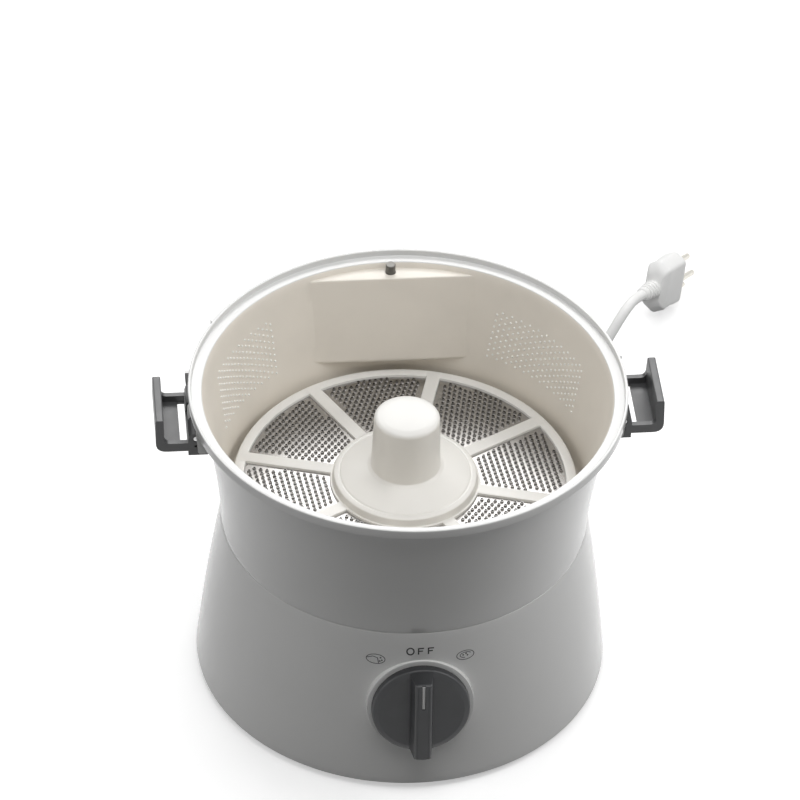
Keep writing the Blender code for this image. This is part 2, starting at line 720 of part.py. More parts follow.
def make_spindle():
    axis = joint_empty("spindle_axis", (0, 0, 0))
    piece("spindle_shaft", drum(SPINDLE_RADIUS, SPINDLE_FOOT_HEIGHT, SPINDLE_TOP_HEIGHT), STEEL, axis)
    bore = SPINDLE_RADIUS + SEAT_GAP
    outline = pulley_outline(DRIVEN_RADIUS, DRIVEN_RIM, DRIVEN_WEB, DRIVEN_HUB_RADIUS, bore)
    pulley = piece("driven_pulley", lathe(outline, PULLEY_STEPS), NYLON, axis)
    holes = []
    for index in range(LIGHTENING_COUNT):
        x, y = polar((DRIVEN_RADIUS - DRIVEN_RIM + DRIVEN_HUB_RADIUS) / 2, FULL_TURN * index / LIGHTENING_COUNT)
        holes.append(moved(drum(LIGHTENING_RADIUS, BELT_PLANE_LOW, BELT_PLANE_HIGH), (x, y, 0)))
    cut(pulley, "lightening", together(holes))
    cap = (HEAD_TOP_HEIGHT - SPINDLE_TOP_HEIGHT) / 2
    outline = [
        (0, HEAD_TOP_HEIGHT),
        (HEAD_RADIUS - cap, HEAD_TOP_HEIGHT),
        (HEAD_RADIUS, HEAD_TOP_HEIGHT - cap),
        (HEAD_RADIUS, HEAD_FOOT_HEIGHT),
        (0, HEAD_FOOT_HEIGHT),
    ]
    head = piece("drive_head", lathe(outline, HEX_SIDES), STEEL, axis)
    cut(head, "bore", drum(bore, HEAD_FOOT_HEIGHT - OVERRUN, SPINDLE_TOP_HEIGHT + SEAT_GAP))


def belt_outline(grow):
    """The open belt round both pulleys, as one outline of arcs joined by straight runs."""
    span = Vector((MOTOR_X, MOTOR_Y, 0))
    large = DRIVEN_RADIUS + SEAT_GAP + grow
    small = MOTOR_PULLEY_RADIUS + SEAT_GAP + grow
    heading = math.atan2(MOTOR_Y, MOTOR_X)
    lean = math.acos((large - small) / span.length)
    round_large = arc((0, 0), large, heading + lean, heading + FULL_TURN - lean, ROUND_STEPS // 2)
    round_small = arc((MOTOR_X, MOTOR_Y), small, heading - lean, heading + lean, SMALL_STEPS)
    return round_large + round_small


def make_belt():
    inset = (BELT_WIDTH - FLANGE_LIP) / 2
    middle = (BELT_PLANE_LOW + BELT_PLANE_HIGH) / 2
    low, high = middle - inset, middle + inset
    belt = piece("drive_belt", slab(belt_outline(BELT_THICKNESS), low, high), RUBBER)
    cut(belt, "inside", slab(belt_outline(0), low - OVERRUN, high + OVERRUN))


def make_motor_fixed():
    stator_outline = [(-STATOR_HALF, -STATOR_HALF), (STATOR_HALF, -STATOR_HALF)]
    stator_outline += [(STATOR_HALF, STATOR_HALF), (-STATOR_HALF, STATOR_HALF)]
    place = (MOTOR_X, MOTOR_Y, 0)
    shape = moved(slab(stator_outline, STATOR_LOW, STATOR_HIGH), place)
    uprights = [edge for edge in shape.edges if abs(edge.verts[0].co.z - edge.verts[1].co.z) > STATOR_ROUND]
    bmesh.ops.bevel(shape, geom=uprights, offset=STATOR_ROUND, segments=2, affect="EDGES")
    stator = piece("motor_stator", shape, IRON)
    bore = drum(STATOR_BORE, STATOR_LOW - OVERRUN, STATOR_HIGH + OVERRUN, ROUND_STEPS // 2)
    cut(stator, "bore", moved(bore, place))
    for side, name in ((-1, "field_coil_left"), (1, "field_coil_right")):
        reach = sorted((side * COIL_INNER, side * COIL_OUTER))
        low = (reach[0], -COIL_HALF_WIDTH, STATOR_LOW - COIL_PROUD)
        high = (reach[1], COIL_HALF_WIDTH, STATOR_HIGH + COIL_PROUD)
        coil = block(low, high)
        bmesh.ops.bevel(coil, geom=list(coil.edges), offset=PLATE_THICKNESS, segments=2, affect="EDGES")
        piece(name, moved(coil, place), COPPER)
        slot_reach = sorted((side * (STATOR_BORE - OVERRUN), side * (COIL_OUTER + SEAT_GAP)))
        low = (slot_reach[0], -COIL_HALF_WIDTH - SEAT_GAP, STATOR_LOW - OVERRUN)
        high = (slot_reach[1], COIL_HALF_WIDTH + SEAT_GAP, STATOR_HIGH + OVERRUN)
        cut(stator, f"slot_{name}", moved(block(low, high), place))
    for name, level, legs in (
        ("motor_bracket_lower", BRACKET_LOW, (BRACKET_LOW, STATOR_LOW - SEAT_GAP)),
        ("motor_bracket_upper", BRACKET_HIGH, (STATOR_HIGH + SEAT_GAP, BRACKET_HIGH + BRACKET_THICKNESS)),
    ):
        low = (-BRACKET_HALF_LENGTH, -BRACKET_HALF_WIDTH, level)
        high = (BRACKET_HALF_LENGTH, BRACKET_HALF_WIDTH, level + BRACKET_THICKNESS)
        bracket = piece(name, moved(block(low, high), place), STEEL)
        for side, label in ((-1, "leg_left"), (1, "leg_right")):
            outer = side * STATOR_HALF
            reach = sorted((outer, outer - side * (STATOR_HALF - COIL_OUTER - SEAT_GAP)))
            leg = block((reach[0], -BRACKET_HALF_WIDTH, legs[0]), (reach[1], BRACKET_HALF_WIDTH, legs[1]))
            add(bracket, label, moved(leg, place))
        bore = drum(ROTOR_SHAFT_RADIUS + RUN_GAP, level - OVERRUN, level + BRACKET_THICKNESS + OVERRUN)
        cut(bracket, "bore", moved(bore, place))
    middle = (COMMUTATOR_LOW + COMMUTATOR_HIGH) / 2
    for side, name in ((-1, "brush_holder_front"), (1, "brush_holder_back")):
        near = COMMUTATOR_RADIUS + RUN_GAP
        reach = sorted((side * near, side * (near + BRUSH_LENGTH)))
        low = (-BRUSH_HALF, reach[0], STATOR_HIGH + SEAT_GAP)
        high = (BRUSH_HALF, reach[1], middle + BRUSH_HALF)
        piece(name, moved(block(low, high), place), BRASS)


def make_rotor():
    axis = joint_empty("rotor_axis", (MOTOR_X, MOTOR_Y, 0))
    bore = ROTOR_SHAFT_RADIUS + SEAT_GAP
    piece("rotor_shaft", drum(ROTOR_SHAFT_RADIUS, ROTOR_SHAFT_LOW, ROTOR_SHAFT_HIGH), STEEL, axis)
    piece("rotor_core", drum(ROTOR_RADIUS, STATOR_LOW, STATOR_HIGH, SMALL_STEPS, bore), IRON, axis)
    piece(
        "commutator",
        drum(COMMUTATOR_RADIUS, COMMUTATOR_LOW, COMMUTATOR_HIGH, SMALL_STEPS, bore),
        COPPER,
        axis,
    )
    top = STATOR_LOW - SEAT_GAP
    fan_low = top - FAN_HEIGHT
    fan = piece("cooling_fan", drum(FAN_HUB_RADIUS, fan_low, top, SMALL_STEPS, bore), NYLON, axis)
    add(fan, "disc", drum(FAN_RADIUS, top - FAN_DISC, top, SMALL_STEPS, FAN_HUB_RADIUS - FAN_DISC))
    for index in range(FAN_BLADES):
        half = FAN_BLADE_THICKNESS / 2
        blade = block((FAN_HUB_RADIUS - FAN_DISC, -half, fan_low), (FAN_RADIUS - half, half, top - FAN_DISC / 2))
        add(fan, f"blade_{index}", moved(blade, turn=Matrix.Rotation(FULL_TURN * index / FAN_BLADES, 4, "Z")))
    low, high = BELT_PLANE_LOW - FLANGE_LIP, BELT_PLANE_HIGH + FLANGE_LIP
    outline = [
        (MOTOR_PULLEY_RADIUS + FLANGE_LIP, high),
        (MOTOR_PULLEY_RADIUS, high - FLANGE_LIP),
        (MOTOR_PULLEY_RADIUS, low + FLANGE_LIP),
        (MOTOR_PULLEY_RADIUS + FLANGE_LIP, low),
        (bore, low),
        (bore, high),
    ]
    piece("motor_pulley", lathe(outline, SMALL_STEPS), NYLON, axis)


def make_knob():
    place, turn = knob_frame()
    axis = joint_empty("knob_axis", place, turn)
    back = SEAT_GAP
    outline = [
        (0, KNOB_DISC),
        (KNOB_RADIUS - KNOB_ROUND, KNOB_DISC),
        (KNOB_RADIUS, KNOB_DISC - KNOB_ROUND),
        (KNOB_RADIUS, back),
        (0, back),
    ]
    knob = piece("control_knob", lathe(outline, ROUND_STEPS // 2), BLACK, axis)
    foot, tip = GRIP_HALF_WIDTH, GRIP_HALF_WIDTH - GRIP_DRAFT
    section = [(-foot, KNOB_DISC - KNOB_ROUND), (foot, KNOB_DISC - KNOB_ROUND), (tip, KNOB_RISE), (-tip, KNOB_RISE)]
    reach = KNOB_RADIUS - KNOB_ROUND
    grip = side_slab(section, -reach, reach)
    add(knob, "grip", grip)
    cut(knob, "bore", drum(KNOB_SHAFT_RADIUS + SEAT_GAP, -OVERRUN, KNOB_SHAFT_OUT + SEAT_GAP))
    piece("knob_shaft", drum(KNOB_SHAFT_RADIUS, -KNOB_SHAFT_IN, KNOB_SHAFT_OUT), STEEL, axis)
    top = -WALL - SEAT_GAP
    switch = block((-SWITCH_HALF, -SWITCH_HALF, top - SWITCH_DEPTH), (SWITCH_HALF, SWITCH_HALF, top))
    body = piece("rotary_switch", moved(switch, place, turn), BLACK)
    bore = drum(KNOB_SHAFT_RADIUS + RUN_GAP, top - SWITCH_BORE_DEPTH, top + OVERRUN)
    cut(body, "bore", moved(bore, place, turn))


def spring(name, radius, low, high, look, parent):
    """A compression spring, as one tube along a helix."""
    curve = bpy.data.curves.new(name, "CURVE")
    curve.dimensions = "3D"
    curve.bevel_depth = SPRING_WIRE / 2
    curve.bevel_resolution = 0
    curve.use_fill_caps = True
    count = SPRING_TURNS * SPRING_POINTS + 1
    line = curve.splines.new("POLY")
    line.points.add(count - 1)
    first, last = low + SPRING_WIRE / 2, high - SPRING_WIRE / 2
    for index, point in enumerate(line.points):
        x, y = polar(radius, FULL_TURN * index / SPRING_POINTS)
        point.co = (x, y, first + (last - first) * index / (count - 1), 1)
    obj = bpy.data.objects.new(name, curve)
    bpy.context.scene.collection.objects.link(obj)
    obj.parent = parent
    curve.materials.append(material(look))
    return obj


def make_interlock():
    rod_axis = joint_empty("rod_axis", (0, ROD_DISTANCE, 0))
    rod_top = LEDGE_HEIGHT + ROD_TOP_RISE
    collar_top = LEDGE_HEIGHT - WALL - SEAT_GAP
    collar_low = collar_top - ROD_COLLAR_HEIGHT
    outline = [
        (0, rod_top),
        (ROD_RADIUS - KNOB_ROUND / 2, rod_top),
        (ROD_RADIUS, rod_top - KNOB_ROUND / 2),
        (ROD_RADIUS, collar_top),
        (ROD_COLLAR_RADIUS, collar_top),
        (ROD_COLLAR_RADIUS, collar_low),
        (ROD_RADIUS - SPRING_WIRE, collar_low),
        (ROD_RADIUS - SPRING_WIRE, ROD_FOOT_HEIGHT),
        (0, ROD_FOOT_HEIGHT),
    ]
    piece("interlock_rod", lathe(outline, SMALL_STEPS), STEEL, rod_axis)
    coil_radius = ROD_RADIUS - SPRING_WIRE / 2 + SEAT_GAP
    spring("rod_spring", coil_radius, ROD_SHELF_HEIGHT + SEAT_GAP, collar_low - SEAT_GAP, STEEL, rod_axis)
    plunger_top = SEAM_HEIGHT - PLUNGER_TOP_GAP
    flange_top = SHOULDER_BOTTOM - SEAT_GAP
    flange_low = flange_top - PLUNGER_FLANGE
    outline = [
        (0, plunger_top),
        (PLUNGER_RADIUS, plunger_top),
        (PLUNGER_RADIUS, flange_top),
        (PLUNGER_FLANGE_RADIUS, flange_top),
        (PLUNGER_FLANGE_RADIUS, flange_low),
        (PLUNGER_RADIUS - SPRING_WIRE, flange_low),
        (PLUNGER_RADIUS - SPRING_WIRE, PLUNGER_TAIL),
        (0, PLUNGER_TAIL),
    ]
    piece("switch_plunger", lathe(outline, SMALL_STEPS), NYLON, rod_axis)
    coil_radius = PLUNGER_RADIUS - SPRING_WIRE / 2 + SEAT_GAP
    spring("plunger_spring", coil_radius, PLUNGER_SHELF_HEIGHT + SEAT_GAP, flange_low - SEAT_GAP, STEEL, rod_axis)
    low = (-MICROSWITCH_HALF_LENGTH, ROD_DISTANCE - MICROSWITCH_HALF_DEPTH, MICROSWITCH_LOW)
    high = (MICROSWITCH_HALF_LENGTH, ROD_DISTANCE + MICROSWITCH_HALF_DEPTH - SEAT_GAP, MICROSWITCH_TOP)
    piece("safety_switch", block(low, high), BLACK)


def baffle_outline(inset):
    """The baffle's side profile as (y, z) points, moved inwards by a wall where it is hollowed."""
    return [
        (LEDGE_DISTANCE + inset, LEDGE_HEIGHT - inset),
        (BAFFLE_WAIST_DISTANCE + inset, BAFFLE_WAIST_HEIGHT),
        (BAFFLE_WAIST_DISTANCE + inset + WALL, BAFFLE_WAIST_HEIGHT - WALL + inset / 2),
        (bowl_radius(BAFFLE_FOOT_HEIGHT) - WALL + inset / 2, BAFFLE_FOOT_HEIGHT + inset),
        (LIP_RADIUS, BAFFLE_FOOT_HEIGHT + inset),
        (LIP_RADIUS, LEDGE_HEIGHT - inset),
    ]


def wall_core(trim):
    """A solid of the bowl's outer form, drawn in by trim, which bounds the baffle."""
    rim = bowl_radius(FLANGE_BOTTOM) - trim
    outline = [(0, RIM_HEIGHT + OVERRUN), (rim, RIM_HEIGHT + OVERRUN), (rim, FLANGE_BOTTOM)]
    for height in spread(FLANGE_BOTTOM, FLOOR_TOP, BOWL_RINGS)[1:]:
        outline.append((bowl_radius(height) - trim, height))
    outline.append((0, FLOOR_TOP))
    return lathe(outline)


def make_bowl():
    fillet = FLOOR_FILLET
    floor_edge = bowl_radius(FLOOR_TOP + fillet) - WALL
    chimney = CHIMNEY_BORE_RADIUS + CHIMNEY_WALL
    outline = [(bowl_radius(height), height) for height in spread(FLANGE_BOTTOM, BOWL_FOOT, BOWL_RINGS)]
    outline += [
        (SEAM_RADIUS - WALL, BOWL_FOOT),
        (SEAM_RADIUS - WALL, FLOOR_BOTTOM),
        (CHIMNEY_BORE_RADIUS, FLOOR_BOTTOM),
        (CHIMNEY_BORE_RADIUS, CHIMNEY_TOP_HEIGHT),
        (chimney, CHIMNEY_TOP_HEIGHT),
        (chimney, FLOOR_TOP),
    ]
    outline += arc((floor_edge - fillet, FLOOR_TOP + fillet), fillet, -math.pi / 2, 0, 2)
    for height in spread(FLOOR_TOP + fillet, FLANGE_BOTTOM, BOWL_RINGS)[1:]:
        outline.append((bowl_radius(height) - WALL, height))
    outline += [
        (RIM_INNER_RADIUS, RIM_HEIGHT),
        (LIP_INNER_RADIUS, RIM_HEIGHT),
        (LIP_INNER_RADIUS, RIM_HEIGHT + LIP_HEIGHT),
        (LIP_RADIUS, RIM_HEIGHT + LIP_HEIGHT),
        (LIP_RADIUS, FLANGE_BOTTOM),
    ]
    bowl = piece("bowl", lathe(outline), WHITE, joint_empty("bowl_lift", (0, 0, 0)))
    half = RIM_INNER_RADIUS / 2
    baffle = cutter("bowl_baffle", depth_slab(baffle_outline(0), -half, half))
    bounds = cutter("bowl_baffle_bounds", wall_core(WALL / 2))
    combine(baffle, bounds, "INTERSECT")
    combine(bowl, baffle, "UNION")
    spine_root = SEAM_RADIUS - WALL / 2
    spine = block((-SPINE_HALF_WIDTH, spine_root, BOWL_FOOT), (SPINE_HALF_WIDTH, SPINE_DEPTH, RIM_HEIGHT - WALL / 2))
    trimmed = cutter("bowl_spine", spine)
    inside = cutter("bowl_spine_trim", wall_core(WALL / 2))
    combine(trimmed, inside, "DIFFERENCE")
    combine(bowl, trimmed, "UNION")
    tabs = []
    for angle in TAB_ANGLES:
        inner = arc((0, 0), LIP_RADIUS - LIP_THICKNESS / 2, angle + TAB_HALF_ANGLE, angle - TAB_HALF_ANGLE, 4)
        outer = arc((0, 0), LIP_RADIUS + TAB_DEPTH, angle - TAB_HALF_ANGLE, angle + TAB_HALF_ANGLE, 4)
        tabs.append(slab(inner + outer, FLANGE_BOTTOM + SEAT_GAP, RIM_HEIGHT + LIP_HEIGHT - SEAT_GAP))
    add(bowl, "tabs", together(tabs))
    add_latch_mounts(bowl)
    hollow = cutter("bowl_baffle_hollow", depth_slab(baffle_outline(WALL), -half, half))
    limits = cutter("bowl_hollow_bounds", wall_core(WALL))
    combine(hollow, limits, "INTERSECT")
    combine(bowl, hollow, "DIFFERENCE")
    channel = block(
        (-CHANNEL_HALF_WIDTH, ROD_DISTANCE - CHANNEL_HALF_DEPTH, BOWL_FOOT - OVERRUN),
        (CHANNEL_HALF_WIDTH, ROD_DISTANCE + CHANNEL_HALF_DEPTH - SEAT_GAP, LEDGE_HEIGHT - WALL),
    )
    cut(bowl, "channel", channel)
    shelf = block(
        (-CHANNEL_HALF_WIDTH - WALL / 2, ROD_DISTANCE - CHANNEL_HALF_DEPTH, ROD_SHELF_HEIGHT - WALL),
        (CHANNEL_HALF_WIDTH + WALL / 2, SPINE_DEPTH - WALL / 2, ROD_SHELF_HEIGHT),
    )
    add(bowl, "rod_shelf", shelf)
    rod_hole = drum(ROD_RADIUS + RUN_GAP / 2, ROD_SHELF_HEIGHT + OVERRUN, RIM_HEIGHT)
    cut(bowl, "rod_hole", moved(rod_hole, (0, ROD_DISTANCE, 0)))
    stem_hole = drum(ROD_RADIUS - SPRING_WIRE + RUN_GAP / 2, ROD_SHELF_HEIGHT - OVERRUN - WALL, RIM_HEIGHT)
    cut(bowl, "stem_hole", moved(stem_hole, (0, ROD_DISTANCE, 0)))
    return bowl


def add_latch_mounts(bowl):
    """The hinge ear and the two guards on each side, and the pin's bore."""
    for side, name in ((-1, "left"), (1, "right")):
        root = bowl_radius(HINGE_HEIGHT) - WALL / 2
        ear = drum(EAR_RADIUS, -EAR_HALF_WIDTH, EAR_HALF_WIDTH)
        lying = Matrix.Rotation(math.pi / 2, 4, "X")
        add(bowl, f"ear_{name}", moved(ear, (side * HINGE_DISTANCE, 0, HINGE_HEIGHT), lying))
        reach = sorted((side * root, side * HINGE_DISTANCE))
        low = (reach[0], -EAR_HALF_WIDTH, HINGE_HEIGHT - EAR_RADIUS)
        high = (reach[1], EAR_HALF_WIDTH, HINGE_HEIGHT + EAR_RADIUS)
        add(bowl, f"ear_root_{name}", block(low, high))
        for hand, end in ((-1, "front"), (1, "back")):
            middle = hand * GUARD_DISTANCE
            foot = bowl_radius(HINGE_HEIGHT) - GUARD_DEPTH
            outline = [
                (side * foot, FLANGE_BOTTOM + WALL / 4),
                (side * GUARD_REACH * math.cos(math.asin(GUARD_DISTANCE / LIP_RADIUS)), FLANGE_BOTTOM + WALL / 4),
                (side * GUARD_REACH * math.cos(math.asin(GUARD_DISTANCE / LIP_RADIUS)), FLANGE_BOTTOM - WALL),
                (side * (foot + GUARD_DEPTH / 2), FLANGE_BOTTOM - GUARD_DEPTH),
                (side * foot, FLANGE_BOTTOM - GUARD_DEPTH),
            ]
            guard = cutter(
                f"guard_{name}_{end}",
                side_slab(outline, middle - GUARD_THICKNESS / 2, middle + GUARD_THICKNESS / 2),
            )
            trim = cutter(f"guard_trim_{name}_{end}", wall_core(WALL / 2))
            combine(guard, trim, "DIFFERENCE")
            combine(bowl, guard, "UNION")
        bore = drum(PIN_RADIUS + PIN_CLEARANCE, -LATCH_HALF_WIDTH, LATCH_HALF_WIDTH)
        cut(bowl, f"pin_bore_{name}", moved(bore, (side * HINGE_DISTANCE, 0, HINGE_HEIGHT), lying))


def make_latch(side, name):
    """One lever, built round its hinge axis: x runs outwards from the pin and z up."""
    axis = joint_empty(f"latch_axis_{name}", (side * HINGE_DISTANCE, 0, HINGE_HEIGHT))
    tip = LIP_INNER + LATCH_LIP
    corner = arc((tip - LATCH_CORNER, LATCH_CORNER - WEB_DROP), LATCH_CORNER, -math.pi / 2, 0, 4)
    outline = [(BAR_INNER, -WEB_DROP)] + corner
    outline += [
        (tip, LATCH_LIP_RISE),
        (LIP_INNER, LATCH_LIP_RISE),
        (LIP_INNER, -RIB_DROP),
        (BAR_INNER, -RIB_DROP),
    ]
    outline = [(side * x, z) for x, z in outline]
    latch = piece(
        f"latch_{name}", side_slab(outline, -LATCH_HALF_WIDTH, LATCH_HALF_WIDTH), BLACK, axis
    )
    inside = LATCH_HALF_WIDTH - LATCH_RIB

    def side_block(near, far, y_low, y_high, z_low, z_high):
        reach = sorted((side * near, side * far))
        return block((reach[0], y_low, z_low), (reach[1], y_high, z_high))

    tray = side_block(BAR_OUTER, LIP_INNER, -inside, inside, WEB_THICKNESS - WEB_DROP, OVERRUN)
    cut(latch, "tray", tray)
    slot_half = inside - SLOT_MARGIN
    slot = side_block(BAR_OUTER, BAR_OUTER + SLOT_WIDTH, -slot_half, slot_half, -WEB_DROP - OVERRUN, OVERRUN)
    cut(latch, "slot", slot)
    lying = Matrix.Rotation(math.pi / 2, 4, "X")
    near = EAR_HALF_WIDTH + SEAT_GAP + SLOT_MARGIN
    for hand, end in ((-1, "front"), (1, "back")):
        reach = sorted((hand * near, hand * LATCH_HALF_WIDTH))
        knuckle = moved(drum(KNUCKLE_RADIUS, -reach[1], -reach[0]), turn=lying)
        add(latch, f"knuckle_{end}", knuckle)
        neck = side_block(0, BAR_OUTER - SEAT_GAP, reach[0], reach[1], -RIB_DROP - WEB_THICKNESS, 0)
        add(latch, f"neck_{end}", neck)
        heel_side = hand * (LATCH_HALF_WIDTH - SLOT_MARGIN)
        heel_reach = sorted((heel_side, heel_side - hand * HEEL_WIDTH))
        heel_low = SLOT_MARGIN - WEB_DROP
        heel = side_block(-HEEL_REACH, BAR_OUTER - SEAT_GAP, heel_reach[0], heel_reach[1], heel_low, -HEEL_DROP)
        add(latch, f"heel_{end}", heel)
    bore = drum(PIN_RADIUS + PIN_CLEARANCE, -LATCH_HALF_WIDTH - OVERRUN, LATCH_HALF_WIDTH + OVERRUN)
    cut(latch, "bore", moved(bore, turn=lying))
    pin = drum(PIN_RADIUS, -LATCH_HALF_WIDTH + SEAT_GAP, LATCH_HALF_WIDTH - SEAT_GAP)
    piece(f"latch_pin_{name}", moved(pin, turn=lying), STEEL, axis)


def sector(inner, outer, half_gap, index, low, high, steps=SECTOR_STEPS):
    """One of the disc's segments, with sides parallel to the spokes beside it."""
    pitch = FULL_TURN / SEGMENT_COUNT
    start = SEGMENT_START + pitch * index

    def edge(radius, backwards):
        lean = math.asin(half_gap / radius)
        ends = (start + lean, start + pitch - lean)
        if backwards:
            ends = ends[::-1]
        return arc((0, 0), radius, ends[0], ends[1], steps)

    return slab(edge(inner, True) + edge(outer, False), low, high)


def make_disc():
    axis = joint_empty("disc_axis", (0, 0, 0))
    top_edge = KNOB_POST_TOP - KNOB_POST_CROWN
    crown = arc(
        (KNOB_POST_RADIUS - KNOB_POST_ROUND, top_edge - KNOB_POST_ROUND),
        KNOB_POST_ROUND,
        math.pi / 2,
        0,
        3,
    )
    cavity = SOCKET_CAVITY_RADIUS + SEAT_GAP
    outline = [(0, KNOB_POST_TOP)] + crown
    outline += [
        (KNOB_POST_RADIUS + KNOB_POST_DRAFT, HUB_TOP_HEIGHT),
        (HUB_RADIUS - HUB_ROUND, HUB_EDGE_HEIGHT),
        (HUB_RADIUS, HUB_EDGE_HEIGHT - HUB_ROUND),
        (HUB_RADIUS + HUB_ROUND / 2, DISC_TOP_HEIGHT),
        (DISC_RADIUS - DISC_EDGE_ROUND, DISC_TOP_HEIGHT),
        (DISC_RADIUS, DISC_TOP_HEIGHT - DISC_EDGE_ROUND),
        (DISC_RADIUS, DISC_SKIRT_HEIGHT),
        (DISC_RADIUS - WALL, DISC_SKIRT_HEIGHT),
        (DISC_RADIUS - WALL, DISC_WEB_BOTTOM),
        (HUB_RADIUS - HUB_WALL, DISC_WEB_BOTTOM),
        (HUB_RADIUS - HUB_WALL - HUB_ROUND, HUB_EDGE_HEIGHT - HUB_WALL),
        (cavity, HUB_TOP_HEIGHT - HUB_WALL),
        (cavity, CAVITY_TOP_HEIGHT),
        (0, CAVITY_TOP_HEIGHT),
    ]
    disc = piece("peeling_disc", lathe(outline), DISC_WHITE, axis)
    half = SPOKE_WIDTH / 2
    pockets = []
    windows = []
    for index in range(SEGMENT_COUNT):
        pockets.append(
            sector(POCKET_INNER_RADIUS, POCKET_OUTER_RADIUS, half, index, POCKET_FLOOR, DISC_TOP_HEIGHT + OVERRUN)
        )
        windows.append(
            sector(
                POCKET_INNER_RADIUS + WINDOW_MARGIN,
                POCKET_OUTER_RADIUS - WINDOW_MARGIN,
                half + WINDOW_MARGIN,
                index,
                DISC_WEB_BOTTOM - OVERRUN,
                POCKET_FLOOR + OVERRUN / 2,
            )
        )
    cut(disc, "pockets", together(pockets))
    cut(disc, "windows", together(windows))
    for index in range(SEGMENT_COUNT):
        make_grater(index, axis)
    outline = [
        (SOCKET_CAVITY_RADIUS, SOCKET_TOP_HEIGHT),
        (SOCKET_CAVITY_RADIUS, SOCKET_FOOT_HEIGHT),
        (HEAD_RADIUS, SOCKET_FOOT_HEIGHT),
        (HEAD_RADIUS, SOCKET_TOP_HEIGHT),
    ]
    socket = piece("drive_socket", lathe(outline, ROUND_STEPS // 2), NYLON, axis)
    hexagon = drum(HEAD_RADIUS + SOCKET_FIT, SOCKET_FOOT_HEIGHT - OVERRUN, SOCKET_TOP_HEIGHT + OVERRUN, HEX_SIDES)
    cut(socket, "hexagon", hexagon)


def burr_places(index):
    """Rows of punched teeth across one plate, each row centred on the segment."""
    pitch = FULL_TURN / SEGMENT_COUNT
    middle = SEGMENT_START + pitch * (index + 1 / 2)
    places = []
    for row in range(BURR_ROW_COUNT):
        radius = BURR_FIRST_ROW + BURR_ROW_PITCH * row
        half_angle = pitch / 2 - math.asin((SPOKE_WIDTH / 2 + BURR_ROOT_RADIUS + PLATE_THICKNESS) / radius)
        count = int(2 * half_angle * radius / BURR_PITCH) + 1
        for step in range(count):
            turn = (step - (count - 1) / 2) * BURR_PITCH / radius
            places.append(polar(radius, middle + turn))
    return places


def make_grater(index, axis):
    inner = POCKET_INNER_RADIUS + SEAT_GAP
    outer = POCKET_OUTER_RADIUS - SEAT_GAP
    low = POCKET_FLOOR + SEAT_GAP
    high = low + PLATE_THICKNESS
    half = SPOKE_WIDTH / 2 + SEAT_GAP
    plate = piece(f"grater_plate_{index + 1}", sector(inner, outer, half, index, low, high), STEEL, axis)
    cones = []
    holes = []
    for x, y in burr_places(index):
        outline = [
            (0, high + BURR_HEIGHT),
            (BURR_TIP_RADIUS, high + BURR_HEIGHT),
            (BURR_ROOT_RADIUS, high - PLATE_THICKNESS / 2),
            (0, high - PLATE_THICKNESS / 2),
        ]
        cones.append(moved(lathe(outline, BURR_SIDES), (x, y, 0)))
        holes.append(moved(drum(BURR_HOLE_RADIUS, low - OVERRUN, high + OVERRUN, BURR_SIDES), (x, y, 0)))
    add(plate, "burrs", together(cones))
    cut(plate, "holes", together(holes))


def relief_outline():
    """The ribbed sleeve on the lead, from its tail inside the housing to its tip."""
    bore = CORD_RADIUS + SEAT_GAP
    outline = [(bore, RELIEF_LENGTH), (RELIEF_TIP_RADIUS, RELIEF_LENGTH)]
    start = RELIEF_COLLAR + SEAT_GAP
    pitch = (RELIEF_LENGTH - start) / (RELIEF_RIBS + 1)
    for rib in range(RELIEF_RIBS, 0, -1):
        place = start + pitch * rib
        share = (place - start) / (RELIEF_LENGTH - start)
        radius = RELIEF_ROOT_RADIUS + (RELIEF_TIP_RADIUS - RELIEF_ROOT_RADIUS) * share
        outline += [
            (radius, place + pitch / 4),
            (radius - RELIEF_GROOVE, place + pitch / 4 - RELIEF_GROOVE / 2),
            (radius - RELIEF_GROOVE, place - pitch / 4),
            (radius, place - pitch / 4 - RELIEF_GROOVE / 2),
        ]
    outline += [
        (RELIEF_ROOT_RADIUS, start),
        (RELIEF_COLLAR_RADIUS, start),
        (RELIEF_COLLAR_RADIUS, RELIEF_COLLAR_RADIUS - RELIEF_ROOT_RADIUS),
        (RELIEF_ROOT_RADIUS, RELIEF_COLLAR_RADIUS - RELIEF_ROOT_RADIUS),
        (RELIEF_ROOT_RADIUS, -RELIEF_TAIL),
        (bore, -RELIEF_TAIL),
    ]
    return outline


def tube(name, points, facets):
    curve = bpy.data.curves.new(name, "CURVE")
    curve.dimensions = "3D"
    curve.bevel_depth = CORD_RADIUS
    curve.bevel_resolution = facets
    curve.use_fill_caps = True
    line = curve.splines.new("POLY")
    line.points.add(len(points) - 1)
    for point, place in zip(line.points, points):
        point.co = (*place, 1)
    obj = bpy.data.objects.new(name, curve)
    bpy.context.scene.collection.objects.link(obj)
    curve.materials.append(material(CORD))
    return obj


def bend(start, start_way, end, end_way):
    """Points along one smooth bend that leaves and arrives along the ways given."""
    reach = (end - start).length * BEND_SHARE
    corners = (start, start + start_way * reach, end - end_way * reach, end)
    points = []
    for step in range(ROUND_STEPS + 1):
        t = step / ROUND_STEPS
        weights = ((1 - t) ** 3, 3 * t * (1 - t) ** 2, 3 * t**2 * (1 - t), t**3)
        points.append(sum((corner * weight for corner, weight in zip(corners, weights)), Vector((0, 0, 0))))
    return points


def evenly(fine):
    """The same line with its points one spacing apart."""
    lengths = [0]
    for first, second in zip(fine, fine[1:]):
        lengths.append(lengths[-1] + (second - first).length)
    count = max(2, round(lengths[-1] / CORD_POINT_SPACING))
    wanted = np.linspace(0, lengths[-1], count + 1)
    axes = [np.interp(wanted, lengths, [point[axis] for point in fine]) for axis in range(3)]
    return [Vector(point) for point in zip(*axes)]


